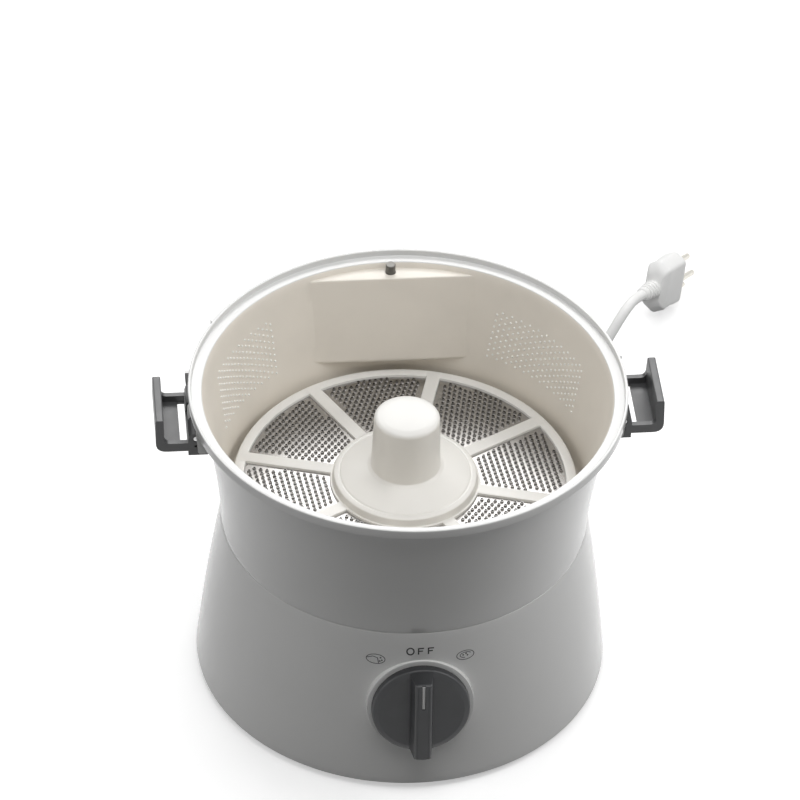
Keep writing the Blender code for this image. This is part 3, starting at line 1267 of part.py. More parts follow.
def coil_line():
    """The wound lead: it spirals in on the table, climbs a layer and spirals out on top."""
    turns = COIL_TURNS
    count = round(turns * COIL_POINTS)
    points = []
    for index in range(count + 1):
        turn = turns * index / count
        radius = COIL_LAY_RADIUS - COIL_PITCH * min(turn, turns - turn)
        climbed = (turn - turns / 2) / COIL_CLIMB_SHARE + 1 / 2
        climbed_share = min(1, max(0, climbed))
        height = COIL_FLOOR + COIL_PITCH * climbed_share**2 * (3 - 2 * climbed_share)
        x, y = polar(radius, FULL_TURN * turn)
        points.append(Vector((COIL_X + x, COIL_Y + y, height)))
    first_way = (points[0] - points[1]).normalized()
    last_way = (points[-1] - points[-2]).normalized()
    run = 4 * CORD_RADIUS
    return [points[0] + first_way * run] + points + [points[-1] + last_way * run]


def report_coil_gap(points):
    """Prints the least gap between turns of the coil, measured on its centre line."""
    line = np.array(points)
    steps = np.linalg.norm(np.diff(line, axis=0), axis=1)
    along = np.concatenate([[0], np.cumsum(steps)])
    apart = np.linalg.norm(line[:, None] - line[None], axis=2)
    far = np.abs(along[:, None] - along[None]) > COIL_LAY_RADIUS
    print("least gap in the coil, mm:", round((apart[far].min() - 2 * CORD_RADIUS) * 1000, 2))
    print("coil length, m:", round(along[-1], 3))


def plug_frame():
    """The plug's own frame: +Z runs along its pins, +X along the row of live pins."""
    forward = Vector((*polar(math.cos(PLUG_DIP), PLUG_TURN), -math.sin(PLUG_DIP)))
    level = Vector((-math.sin(PLUG_TURN), math.cos(PLUG_TURN), 0))
    row = level * math.cos(PLUG_ROLL) + forward.cross(level) * math.sin(PLUG_ROLL)
    across = forward.cross(row)
    turn = Matrix((row, across, forward)).transposed().to_4x4()
    return Vector((PLUG_X, PLUG_Y, PLUG_HEIGHT)), turn


def plug_section(share):
    side = PLUG_HALF_THICKNESS / math.tan(PLUG_BEVEL)
    wide, thick = PLUG_HALF_WIDTH, PLUG_HALF_THICKNESS
    corners = [
        (wide, 0),
        (wide - side, thick),
        (side - wide, thick),
        (-wide, 0),
        (side - wide, -thick),
        (wide - side, -thick),
    ]
    return [(share * x, share * y) for x, y in corners]


def make_cord():
    x, y = polar(housing_radius(CORD_HEIGHT), CORD_ANGLE)
    relief = piece("strain_relief", lathe(relief_outline(), SMALL_STEPS), CORD)
    relief.matrix_world = Matrix.Translation((x, y, CORD_HEIGHT)) @ cord_turn()
    outward = Vector((*polar(1, CORD_ANGLE), 0))
    gland = Vector((x, y, CORD_HEIGHT))
    line = coil_line()
    report_coil_gap(line)
    first_way = (line[1] - line[0]).normalized()
    last_way = (line[-1] - line[-2]).normalized()
    coil_in = line[0] - first_way * SEAT_GAP
    lead_out = gland + outward * (RELIEF_LENGTH + CORD_RADIUS)
    tube("cord_lead", [gland - outward * RELIEF_TAIL] + evenly(bend(lead_out, outward, coil_in, first_way)), CORD_FACETS)
    tube("cord_coil", line, COIL_FACETS)
    place, turn = plug_frame()
    forward = turn.to_3x3() @ Vector((0, 0, 1))
    plug_back = place - forward * (PLUG_LENGTH + PLUG_NECK_LENGTH + SEAT_GAP)
    coil_out = line[-1] + last_way * SEAT_GAP
    rest = Vector((REST_X, REST_Y, CORD_LIE))
    rest_way = Vector((*polar(1, REST_TURN), 0))
    plug_in = plug_back - forward * (2 * CORD_RADIUS)
    tail_out = coil_out + last_way * CORD_RADIUS
    tail = bend(tail_out, last_way, rest, rest_way) + bend(rest, rest_way, plug_in, forward)[1:]
    tube("cord_tail", [coil_out] + evenly(tail) + [plug_back], CORD_FACETS)
    make_tie()
    make_plug(place, turn)


def make_tie():
    """A band round the bundle, on the coil's left side."""
    inner_lay = COIL_LAY_RADIUS - COIL_PITCH * COIL_TURNS / 2
    low_r, high_r = inner_lay - CORD_RADIUS - SEAT_GAP, COIL_LAY_RADIUS + CORD_RADIUS + SEAT_GAP
    floor = COIL_FLOOR - CORD_RADIUS - SEAT_GAP
    top = COIL_FLOOR + COIL_PITCH + CORD_RADIUS + SEAT_GAP
    place = (COIL_X, COIL_Y, 0)
    grown = TIE_THICKNESS
    outer = block(
        (-high_r - grown, -TIE_HALF_WIDTH, floor - grown),
        (-low_r + grown, TIE_HALF_WIDTH, top + grown),
    )
    tie = piece("cord_tie", moved(outer, place), BLACK)
    inner = block((-high_r, -TIE_HALF_WIDTH - OVERRUN, floor), (-low_r, TIE_HALF_WIDTH + OVERRUN, top))
    cut(tie, "inside", moved(inner, place))


def loft(sections):
    """A closed skin through sections of the same point count, each a list of (x, y, z)."""
    shape = bmesh.new()
    rings = [[shape.verts.new(point) for point in section] for section in sections]
    for lower, upper in zip(rings, rings[1:]):
        for index in range(len(lower)):
            after = (index + 1) % len(lower)
            shape.faces.new((lower[index], lower[after], upper[after], upper[index]))
    shape.faces.new(rings[0][::-1])
    shape.faces.new(rings[-1])
    return shape


def make_plug(place, turn):
    sections = []
    shoulder = PLUG_LENGTH * PLUG_TAPER_SHARE
    for share, depth in ((1, 0), (1, shoulder), (PLUG_SHRINK_SHARE, PLUG_LENGTH)):
        sections.append([(x, y, -depth) for x, y in plug_section(share)])
    body = piece("plug_body", moved(loft(sections), place, turn), CORD)
    back = PLUG_LENGTH + PLUG_NECK_LENGTH
    neck = lathe(
        [
            (0, -back),
            (PLUG_NECK_TIP, -back),
            (PLUG_NECK_ROOT, -shoulder),
            (0, -shoulder),
        ],
        SMALL_STEPS,
    )
    add(body, "neck", moved(neck, place, turn))
    holes = []
    rows = (
        ("plug_pin_live", PLUG_PIN_SPACING, 0),
        ("plug_pin_neutral", -PLUG_PIN_SPACING, 0),
        ("plug_pin_earth", 0, PLUG_EARTH_OFFSET),
    )
    for name, x, y in rows:
        spot = place + turn.to_3x3() @ Vector((x, y, 0))
        outline = [
            (0, PLUG_PIN_LENGTH),
            (PLUG_PIN_RADIUS / 2, PLUG_PIN_LENGTH),
            (PLUG_PIN_RADIUS, PLUG_PIN_LENGTH - PLUG_PIN_RADIUS / 2),
            (PLUG_PIN_RADIUS, -PLUG_PIN_SEAT),
            (0, -PLUG_PIN_SEAT),
        ]
        piece(name, moved(lathe(outline, SMALL_STEPS // 2), spot, turn), BRASS)
        hole = drum(PLUG_PIN_RADIUS + SEAT_GAP, -PLUG_PIN_SEAT - SEAT_GAP, OVERRUN, SMALL_STEPS)
        holes.append(moved(hole, spot, turn))
    for index, hole in enumerate(holes):
        cut(body, f"pin_hole_{index}", hole)


def main():
    clear_scene()
    make_housing()
    make_bottom()
    make_bearings()
    make_spindle()
    make_belt()
    make_motor_fixed()
    make_rotor()
    make_knob()
    make_interlock()
    make_bowl()
    make_disc()
    make_latch(-1, "left")
    make_latch(1, "right")
    make_cord()


main()
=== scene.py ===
import math

import bmesh
import bpy
import numpy as np
from mathutils import Matrix, Vector


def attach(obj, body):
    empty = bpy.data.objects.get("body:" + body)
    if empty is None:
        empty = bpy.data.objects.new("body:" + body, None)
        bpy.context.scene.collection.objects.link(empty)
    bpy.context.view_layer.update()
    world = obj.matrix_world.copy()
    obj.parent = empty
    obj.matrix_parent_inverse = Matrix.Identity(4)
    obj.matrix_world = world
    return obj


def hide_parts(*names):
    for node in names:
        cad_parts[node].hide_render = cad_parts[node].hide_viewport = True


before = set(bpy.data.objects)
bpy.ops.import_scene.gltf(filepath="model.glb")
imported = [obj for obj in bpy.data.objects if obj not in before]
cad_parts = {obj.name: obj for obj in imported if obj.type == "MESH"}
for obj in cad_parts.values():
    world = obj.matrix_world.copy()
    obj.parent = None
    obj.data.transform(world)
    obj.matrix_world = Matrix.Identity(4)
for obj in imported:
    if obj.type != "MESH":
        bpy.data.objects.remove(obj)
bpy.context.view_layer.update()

bl_info = {
    "name": "Electric Potato Peeler",
    "version": (1, 0, 0),
    "blender": (4, 5, 0),
    "location": "3D View > Sidebar > Peeler",
    "description": "Dresses the packed electric potato peeler: mouldings, peeling disc, latches, lead and stage",
    "category": "Object",
}

# Shared sizes, which repeat the part's own
SEAT_GAP = 0.0003
RUN_GAP = 0.0006
OVERRUN = 0.003
WALL = 0.0025
WELD_DISTANCE = 0.000004
FULL_TURN = 2 * math.pi
FINE_STEPS = 192
ROUND_STEPS = 96
SMALL_STEPS = 40
SOFT_EDGE = 0.0006
SHARP_ANGLE = math.radians(38)
LYING = Matrix.Rotation(math.pi / 2, 4, "X")

# Bowl and housing; the ledge and the baffle follow the photograph and stand a little off the solid's
HOUSING_EDGE_HEIGHT = 0.004
SEAM_HEIGHT = 0.104
SEAM_RADIUS = 0.1022
HOUSING_FOOT_RADIUS = 0.116
HOUSING_BULGE_SHARE = 0.25
DECK_TOP = 0.108
DECK_BOTTOM = 0.105
STEP_RADIUS = SEAM_RADIUS - WALL - 0.0005
SHOULDER_BOTTOM = SEAM_HEIGHT - WALL
COLLAR_RADIUS = 0.011
COLLAR_TOP_HEIGHT = 0.122
COLLAR_DROP = 0.007
BOWL_FOOT = SEAM_HEIGHT + SEAT_GAP
RIM_HEIGHT = 0.190
RIM_INNER_RADIUS = 0.1125
LIP_INNER_RADIUS = 0.1182
LIP_RADIUS = 0.1199
LIP_TOP = 0.1936
FLANGE_BOTTOM = 0.188
BOWL_TOP_RADIUS = 0.114
BOWL_FLARE_SHARE = 1.6
FLOOR_BOTTOM = DECK_TOP + 0.0009
FLOOR_TOP = FLOOR_BOTTOM + WALL
FLOOR_FILLET = 0.003
CHIMNEY_BORE = 0.0118
CHIMNEY_RADIUS = 0.0140
CHIMNEY_TOP = 0.145
SPINE_HALF_WIDTH = 0.013
SPINE_DEPTH = 0.1135
SPINE_FOOT_HEIGHT = 0.027
ROD_DISTANCE = 0.1075
CHANNEL_HALF_WIDTH = 0.008
CHANNEL_HALF_DEPTH = 0.0038
LEDGE_HEIGHT = 0.1868
LEDGE_DISTANCE = 0.1009
BAFFLE_WAIST_HEIGHT = 0.1345
BAFFLE_WAIST_DISTANCE = 0.0925
BAFFLE_FOOT_HEIGHT = 0.131
TAB_HALF_ANGLE = math.radians(5)
TAB_ANGLES = (math.radians(35), math.radians(90), math.radians(145))
TAB_DEPTH = 0.0022
NUB_FIELDS = (("left", math.radians(130), 19, 9, 0.1400), ("right", math.radians(20), 23, 8, 0.1395))
NUB_STAND = 0.00005
CORD_ANGLE = math.radians(58)
CORD_HEIGHT = 0.016

# Mains lead
CORD_RADIUS = 0.00325
RELIEF_LENGTH = 0.038
RELIEF_TAIL = 0.007
RELIEF_ROOT = 0.0066
RELIEF_TIP = 0.0045
RELIEF_COLLAR = 0.0085
RELIEF_RIBS_START = 0.0045
RELIEF_RIBS = 9
RELIEF_GROOVE = 0.0008
COIL_X = 0.045
COIL_Y = 0.205
COIL_LAY_RADIUS = 0.042
COIL_PITCH = 0.0072
COIL_FLOOR = 0.0046
COIL_TURNS = 3.892
COIL_POINTS = 24
COIL_CLIMB_SHARE = 0.5
CORD_LIE = 0.0034
CORD_POINT_SPACING = 0.007
BEND_SHARE = 0.38
BEND_STEPS = 48
REST_X = 0.128
REST_Y = 0.228
REST_TURN = math.radians(35)
TIE_THICKNESS = 0.0009
TIE_HALF_WIDTH = 0.003
TIE_OUTER_CORNER = 0.003
TIE_INNER_CORNER = 0.0022

# Plug
PLUG_X = 0.1982
PLUG_Y = 0.3035
PLUG_HEIGHT = 0.0176
PLUG_TURN = math.radians(53.8)
PLUG_DIP = math.radians(18.3)
PLUG_ROLL = math.radians(87)
PLUG_LENGTH = 0.0270
PLUG_NECK_LENGTH = 0.0160
PLUG_SHOULDER = PLUG_LENGTH * 0.86
PLUG_HALF_WIDTH = 0.0180
PLUG_HALF_THICKNESS = 0.0080
PLUG_SIDE_ANGLE = math.radians(60)
PLUG_RINGS = (
    (0.96, 0), (0.985, 0.0004), (1, 0.0012), (0.985, 0.008), (0.95, 0.013), (0.96, 0.018), (0.985, 0.0215),
    (0.93, PLUG_SHOULDER), (0.78, 0.0255), (0.6, PLUG_LENGTH),
)
NECK_RIBS = 5
NECK_RIB_PITCH = 0.0028
NECK_RIB_DEPTH = 0.0007
PLUG_PIN_RADIUS = 0.002
PLUG_PIN_REACH = 0.019
PLUG_PIN_ROOT = 0.005
PLUG_PIN_PLACES = (("live", 0.0095, 0), ("neutral", -0.0095, 0), ("earth", 0, 0.005))

# Camera, fitted to the rim, the seam and the hub
CAMERA_PLACE = (-0.210276, -1.843402, 1.743235)
CAMERA_FORWARD = (0.08499, 0.76053, -0.64371)
CAMERA_UP = (0.03943, 0.64298, 0.76487)
CAMERA_LENS = 200
CAMERA_SENSOR = 36

# Hinge, guards and rod; the back guards reach a little further out than the solid's
EAR_RADIUS = 0.0038
EAR_ROOT_HALF_WIDTH = 0.0058
GUARD_DISTANCE = 0.0245
GUARD_HALF_WIDTH = 0.00125
GUARD_REACH_FRONT = 0.1195
GUARD_REACH_BACK = 0.1230
GUARD_DRAFT = 0.0012
GUARD_DEPTH = 0.016
HINGE_DISTANCE = 0.1165
HINGE_HEIGHT = 0.179
LATCH_HALF_WIDTH = 0.0215
ROD_SHELF_HEIGHT = 0.158
ROD_RADIUS = 0.00275
ROD_STEM_BORE = 0.00245
ROD_SHELF_HOLE_FOOT = ROD_SHELF_HEIGHT - 0.006

# Knob's pad, posts, bores and feet of the base
BEARING_BORE = 0.0083
PAD_RADIUS = 0.0295
PAD_PROUD = 0.0008
PAD_DEPTH = 0.010
KNOB_HEIGHT = 0.058
KNOB_RADIUS = 0.027
COVER_TOP = 0.0073
FOOT_CIRCLE_RADIUS = 0.098
FOOT_RADIUS = 0.009
FOOT_FLANGE_TOP = 0.0045
FOOT_STUD_RADIUS = 0.003
FOOT_HOLLOW = 0.0008
SCREW_POST_CIRCLE = 0.094
SCREW_POST_RADIUS = 0.0045
SCREW_POST_FOOT = 0.0076
SCREW_BORE = 0.002
SCREW_BORE_TOP = 0.0213
POST_ROOT = 0.1055
BRACKET_POST_RADIUS = 0.004
BRACKET_POST_FOOT = 0.0898
BRACKET_POST_SPREAD = 0.030
MOTOR_X = -0.052
MOTOR_Y = 0.030
KNOB_SHAFT_BORE = 0.0036
PLUNGER_SHELF_BOTTOM = 0.0835
PLUNGER_SHELF_TOP = 0.086
PLUNGER_BORE = 0.0033
PLUNGER_BORE_FOOT = 0.0815
GLAND_BORE = 0.0069

# Knob
KNOB_DISC = 0.006
KNOB_RISE = 0.017
KNOB_ROUND = 0.0012
GRIP_HALF_WIDTH = 0.006
GRIP_DRAFT = 0.0015
GRIP_FOOT = 0.001
GROOVE_HALF_WIDTH = 0.0009
LINE_HALF_WIDTH = 0.0008

# Printed marks
LETTER_HALF_HEIGHT = 0.0021
LETTER_PITCH = 0.0058
LETTER_LINE = 0.0008
LETTERS_UP = 0.0350
MARK_DISTANCE = 0.0380
MARK_TURN = math.radians(40)
MARK_WIDTH = 0.0050
MARK_HEIGHT = 0.0030
MARK_LINE = 0.00042
PRINT_LIFT = 0.00006

# Peeling disc
DISC_RADIUS = 0.0955
DISC_TOP = 0.126
DISC_SKIRT = 0.116
POCKET_FLOOR = 0.1234
DISC_WEB_BOTTOM = 0.1207
HUB_RADIUS = 0.0398
HUB_EDGE = 0.1305
HUB_TOP = 0.137
HUB_WALL = 0.0028
POST_RADIUS = 0.0181
POST_TOP = 0.1725
CAVITY_RADIUS = 0.0151
CAVITY_TOP = 0.1690
SEGMENT_COUNT = 8
SEGMENT_PITCH = FULL_TURN / SEGMENT_COUNT
SEGMENT_START = math.radians(29.5)
SPOKE_WIDTH = 0.0075
POCKET_INNER = 0.0415
POCKET_OUTER = 0.0895
WINDOW_MARGIN = 0.0035
PLATE_LOW = 0.1237
PLATE_TOP = 0.1246
TEETH_ACROSS = 23
TOOTH_SIDES = 12
TOOTH_EDGE = 0.00018
TOOTH_ROOT = 0.0004
DRILL_DEPTH = 0.006

# Latches, from the hinge's axis; web, ribs and lip follow the photograph more closely than the solid
BAR_INNER = 0.001
BAR_OUTER = 0.0047
SLOT_WIDTH = 0.0038
SLOT_MARGIN = 0.0005
LIP_INNER = 0.0175
LATCH_LIP = 0.0045
LATCH_LIP_RISE = 0.0116
LIP_END_DRAFT = 0.003
LATCH_CORNER = 0.006
LATCH_RIB = 0.003
WEB_THICKNESS = 0.0016
WEB_DROP = 0.0080
RIB_DROP = 0.0025
HEEL_REACH = 0.0062
HEEL_DROP = 0.006
HEEL_HEIGHT = 0.0055
HEEL_WIDTH = 0.006
EAR_HALF_WIDTH = 0.006
PIN_BORE = 0.0019
KNUCKLE_RADIUS = 0.0042
INNER_CORNER = 0.0035
LATCH_EDGE = 0.0005

# Interlock pin
PIN_RISE = 0.0055
PIN_COLLAR_RADIUS = 0.0034
PIN_COLLAR_TOP = 0.1815
PIN_COLLAR_HEIGHT = 0.002
PIN_STEM_RADIUS = 0.00215
PIN_FOOT = 0.1038

# Stage
FLOOR_PALE = (0.80, 0.80, 0.80)
FLOOR_PALEST = (0.83, 0.83, 0.83)
FLOOR_BOUNCE = (0.08, 0.08, 0.08)
FLOOR_REACH = 30


def polar(radius, angle):
    return radius * math.cos(angle), radius * math.sin(angle)


def arc(centre, radius, start, end, steps):
    turns = [start + (end - start) * step / steps for step in range(steps + 1)]
    return [(centre[0] + radius * math.cos(turn), centre[1] + radius * math.sin(turn)) for turn in turns]


def spread(first, last, count):
    return [first + (last - first) * step / count for step in range(count + 1)]


def housing_radius(height):
    share = (SEAM_HEIGHT - height) / (SEAM_HEIGHT - HOUSING_EDGE_HEIGHT)
    bulged_share = share + HOUSING_BULGE_SHARE * share * (1 - share)
    return SEAM_RADIUS + (HOUSING_FOOT_RADIUS - SEAM_RADIUS) * bulged_share


def bowl_radius(height):
    share = max(0, (height - BOWL_FOOT) / (FLANGE_BOTTOM - BOWL_FOOT))
    return SEAM_RADIUS + (BOWL_TOP_RADIUS - SEAM_RADIUS) * share**BOWL_FLARE_SHARE


# Mesh making

def soften(corners, steps=4):
    """Rounds each corner (x, y, radius) of a closed outline."""
    points = []
    for index, (x, y, radius) in enumerate(corners):
        here = Vector((x, y))
        if not radius:
            points.append((x, y))
            continue
        before = Vector(corners[index - 1][:2]) - here
        after = Vector(corners[(index + 1) % len(corners)][:2]) - here
        half = before.angle(after) / 2
        run = min(radius / math.tan(half), before.length * 0.49, after.length * 0.49)
        start, end = here + before.normalized() * run, here + after.normalized() * run
        for step in range(steps + 1):
            t = step / steps
            points.append(tuple((1 - t) ** 2 * start + 2 * t * (1 - t) * here + t**2 * end))
    return points


def lathe(outline, steps=ROUND_STEPS):
    shape = bmesh.new()
    points = [shape.verts.new((radius, 0, height)) for radius, height in outline]
    edges = []
    for first, second in zip(points, points[1:] + points[:1]):
        if first.co.x > 0 or second.co.x > 0:
            edges.append(shape.edges.new((first, second)))
    bmesh.ops.spin(
        shape, geom=points + edges, cent=(0, 0, 0), axis=(0, 0, 1), angle=FULL_TURN, steps=steps, use_merge=True
    )
    bmesh.ops.remove_doubles(shape, verts=shape.verts, dist=WELD_DISTANCE)
    bmesh.ops.recalc_face_normals(shape, faces=shape.faces)
    return shape


def turned(outline, steps=SMALL_STEPS, softness=4):
    """Spins an outline of (radius, height, rounding) corners."""
    return lathe(soften(outline, softness), steps)


def drum(radius, low, high, steps=SMALL_STEPS):
    return lathe([(radius, high), (radius, low), (0, low), (0, high)], steps)


def block(low, high):
    shape = bmesh.new()
    bmesh.ops.create_cube(shape, size=1)
    size = Vector(high) - Vector(low)
    middle = (Vector(high) + Vector(low)) / 2
    bmesh.ops.transform(shape, matrix=Matrix.Translation(middle) @ Matrix.Diagonal((*size, 1)), verts=shape.verts)
    return shape


def slab(outline, low, high):
    shape = bmesh.new()
    points = [shape.verts.new((x, y, low)) for x, y in outline]
    face = shape.faces.new(points)
    grown = bmesh.ops.extrude_face_region(shape, geom=[face])
    raised = [item for item in grown["geom"] if isinstance(item, bmesh.types.BMVert)]
    bmesh.ops.translate(shape, verts=raised, vec=(0, 0, high - low))
    bmesh.ops.recalc_face_normals(shape, faces=shape.faces)
    return shape


def side_slab(outline, near, far):
    """Extrudes an outline of (x, z) points along Y."""
    shape = slab(outline, 0, far - near)
    bmesh.ops.transform(shape, matrix=LYING, verts=shape.verts)
    bmesh.ops.translate(shape, verts=shape.verts, vec=(0, far, 0))
    return shape


def depth_slab(outline, left, right):
    """Extrudes an outline of (y, z) points along X."""
    shape = slab(outline, left, right)
    turn = Matrix(((0, 0, 1, 0), (1, 0, 0, 0), (0, 1, 0, 0), (0, 0, 0, 1)))
    bmesh.ops.transform(shape, matrix=turn, verts=shape.verts)
    return shape


def moved(shape, place=(0, 0, 0), turn=None):
    bmesh.ops.transform(shape, matrix=Matrix.Translation(place) @ (turn or Matrix.Identity(4)), verts=shape.verts)
    return shape


def together(shapes):
    whole = bmesh.new()
    for shape in shapes:
        mesh = bpy.data.meshes.new("helper")
        bmesh.ops.recalc_face_normals(shape, faces=shape.faces)
        shape.to_mesh(mesh)
        shape.free()
        whole.from_mesh(mesh)
        bpy.data.meshes.remove(mesh)
    return whole


def new_object(name, shape):
    bmesh.ops.remove_doubles(shape, verts=shape.verts, dist=WELD_DISTANCE)
    bmesh.ops.recalc_face_normals(shape, faces=shape.faces)
    mesh = bpy.data.meshes.new(name)
    shape.to_mesh(mesh)
    shape.free()
    obj = bpy.data.objects.new(name, mesh)
    bpy.context.scene.collection.objects.link(obj)
    return obj


def combine(obj, shape, operation):
    """One Boolean, applied at once."""
    other = new_object("helper", shape)
    step = obj.modifiers.new("combine", "BOOLEAN")
    step.operation = operation
    step.solver = "EXACT"
    step.object = other
    settle(obj)
    bpy.data.objects.remove(other)


def cut(obj, shape):
    combine(obj, shape, "DIFFERENCE")


def add(obj, shape):
    combine(obj, shape, "UNION")


def settle(obj):
    """Turns the object and its modifiers into a plain mesh."""
    bpy.context.view_layer.update()
    graph = bpy.context.evaluated_depsgraph_get()
    mesh = bpy.data.meshes.new_from_object(obj.evaluated_get(graph), depsgraph=graph)
    old = obj.data
    obj.modifiers.clear()
    obj.data = mesh
    bpy.data.meshes.remove(old)


def bevel(obj, width=SOFT_EDGE, segments=2, angle=math.radians(40)):
    step = obj.modifiers.new("bevel", "BEVEL")
    step.width = width
    step.segments = segments
    step.limit_method = "ANGLE"
    step.angle_limit = angle
    step.harden_normals = False
    settle(obj)


def tidy(obj):
    """Merges doubles, turns the faces outwards and smooths all but the sharp edges."""
    shape = bmesh.new()
    shape.from_mesh(obj.data)
    bmesh.ops.remove_doubles(shape, verts=shape.verts, dist=WELD_DISTANCE)
    bmesh.ops.dissolve_degenerate(shape, edges=shape.edges, dist=WELD_DISTANCE)
    bmesh.ops.recalc_face_normals(shape, faces=shape.faces)
    shape.to_mesh(obj.data)
    shape.free()
    obj.data.shade_smooth()
    obj.data.set_sharp_from_angle(angle=SHARP_ANGLE)


def finish_piece(obj, body, material, slot, *nodes):
    """Gives a piece its finish and its body, and hides the solids that it stands for."""
    tidy(obj)
    obj.data.materials.clear()
    obj.data.materials.append(finish(material))
    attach(obj, body)
    if nodes:
        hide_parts(*nodes)
    return obj


# Material making

def node(tree, kind, values=None, **settings):
    made = tree.nodes.new(kind)
    for key, value in settings.items():
        setattr(made, key, value)
    for key, value in (values or {}).items():
        if isinstance(value, bpy.types.NodeSocket):
            tree.links.new(value, made.inputs[key])
        else:
            made.inputs[key].default_value = value
    return made


def math_node(tree, operation, first, second=0.0, third=0.0):
    return node(tree, "ShaderNodeMath", {0: first, 1: second, 2: third}, operation=operation).outputs[0]


def moulded_texture(tree, given, place):
    """Fine unevenness, handling marks and a faint change of tone on moulded plastic."""
    patches = noise(tree, place, given["Patch Scale"], 4.0)
    marks = noise(tree, place, 160.0, 3.0)
    grain = noise(tree, place, given["Grain Scale"], 2.0)
    share = node(tree, "ShaderNodeMapRange", {"Value": patches, "From Min": 0.38, "From Max": 0.68, "To Max": 0.8})
    return share.outputs[0], marks, math_node(tree, "MULTIPLY_ADD", marks, 0.3, grain)


def brushed_texture(tree, given, place):
    """Fine lines along one axis of the piece, for drawn or brushed metal."""
    stretched = node(tree, "ShaderNodeVectorMath", {0: place, 1: given["Line Scale"]}, operation="MULTIPLY")
    lines = noise(tree, stretched.outputs[0], 1.0, 3.0)
    return lines, noise(tree, place, 60.0, 4.0), lines


def noise(tree, place, scale, detail):
    return node(tree, "ShaderNodeTexNoise", {"Vector": place, "Scale": scale, "Detail": detail}).outputs["Fac"]


def mixed_tone(tree, share, first, second):
    return node(tree, "ShaderNodeMix", {"Factor": share, 6: first, 7: second}, data_type="RGBA").outputs[2]


# For each group: its own inputs and the texture that it's made of
SURFACES = {
    "Moulded Surface": ((("Patch Scale", "Float", 18), ("Grain Scale", "Float", 900)), moulded_texture),
    "Brushed Surface": ((("Line Scale", "Vector", (40, 900, 900)),), brushed_texture),
}


def surface_group(name):
    """A group that puts out a colour, a roughness and a height that change over the surface."""
    found = bpy.data.node_groups.get(name)
    if found:
        return found
    scales, texture = SURFACES[name]
    inputs = (("Colour", "Color", (0.8, 0.8, 0.8, 1)), ("Shade", "Color", (0.7, 0.7, 0.7, 1)), *scales)
    inputs += (("Roughness", "Float", 0.25), ("Roughness Change", "Float", 0.1))
    tree = bpy.data.node_groups.new(name, "ShaderNodeTree")
    for label, kind, default in inputs:
        socket = tree.interface.new_socket(label, in_out="INPUT", socket_type="NodeSocket" + kind)
        socket.default_value = default
    for label, kind in (("Colour", "Color"), ("Roughness", "Float"), ("Height", "Float")):
        tree.interface.new_socket(label, in_out="OUTPUT", socket_type="NodeSocket" + kind)
    given, result = tree.nodes.new("NodeGroupInput").outputs, tree.nodes.new("NodeGroupOutput").inputs
    share, marks, height = texture(tree, given, node(tree, "ShaderNodeTexCoord").outputs["Object"])
    worn = math_node(tree, "SUBTRACT", marks, 0.5)
    rough = math_node(tree, "MULTIPLY_ADD", worn, given["Roughness Change"], given["Roughness"])
    tree.links.new(mixed_tone(tree, share, given["Colour"], given["Shade"]), result["Colour"])
    tree.links.new(rough, result["Roughness"])
    tree.links.new(height, result["Height"])
    return tree


def shader(name, colour, roughness, metallic=0.0):
    made = bpy.data.materials.new(name)
    made.use_nodes = True
    made.diffuse_color = (*colour, 1)
    surface = made.node_tree.nodes["Principled BSDF"]
    surface.inputs["Base Color"].default_value = (*colour, 1)
    surface.inputs["Roughness"].default_value = roughness
    surface.inputs["Metallic"].default_value = metallic
    return made, made.node_tree, surface


def surfaced(name, colour, shade, roughness, change, group_name, scales, strength, depth, metallic=0.0):
    """A material whose colour, roughness and relief come from one of the groups."""
    made, tree, surface = shader(name, colour, roughness, metallic)
    values = {"Colour": (*colour, 1), "Shade": (*shade, 1), "Roughness": roughness, "Roughness Change": change}
    group = node(tree, "ShaderNodeGroup", values | scales, node_tree=surface_group(group_name)).outputs
    tree.links.new(group["Colour"], surface.inputs["Base Color"])
    tree.links.new(group["Roughness"], surface.inputs["Roughness"])
    bump = node(tree, "ShaderNodeBump", {"Height": group["Height"], "Strength": strength, "Distance": depth})
    tree.links.new(bump.outputs["Normal"], surface.inputs["Normal"])
    return made


# Colour, or the panel's name for it; shade, or its share of the colour; roughness and its change;
# scale of the patches and of the grain; strength of the relief
PLASTICS = {
    "glossy_white_plastic": ("white", 0.97, 0.16, 0.08, 14.0, 700.0, 0.12),
    # The inside is a lighter, warmer copy of the white moulding: its warm tint stands for potato staining, and its
    # extra lightness is painted light.
    "bowl_inside_plastic": ("inside", 0.93, 0.36, 0.16, 26.0, 500.0, 0.3),
    # The nubs are a lighter copy of the inside's plastic: a painted highlight on their tips.
    "bowl_nub_plastic": ("nubs", 0.95, 0.30, 0.12, 26.0, 500.0, 0.2),
    "disc_plastic_satin": ("disc", 0.96, 0.32, 0.12, 30.0, 600.0, 0.25),
    "satin_black_plastic": ("black", 1.7, 0.38, 0.18, 40.0, 1500.0, 0.7),
    # The latches are a lighter copy of the black plastic, lifted so that their lit tops show a brighter sheen:
    # painted sheen.
    "satin_latch_plastic": ("latch", 1.25, 0.38, 0.16, 40.0, 1500.0, 0.6),
    "soft_white_cord": ("cord", 0.95, 0.45, 0.1, 60.0, 1200.0, 0.3),
    "printed_black_ink": ((0.012, 0.012, 0.013), (0.02, 0.02, 0.02), 0.45, 0.1, 90.0, 2000.0, 0.1),
    "black_rubber": ((0.025, 0.025, 0.025), (0.05, 0.05, 0.048), 0.75, 0.2, 60.0, 1400.0, 0.8),
    "natural_nylon": ((0.78, 0.76, 0.69), (0.70, 0.68, 0.60), 0.45, 0.15, 40.0, 900.0, 0.4),
    "woven_black_band": ((0.02, 0.02, 0.021), (0.05, 0.05, 0.05), 0.85, 0.1, 200.0, 2600.0, 1.0),
}

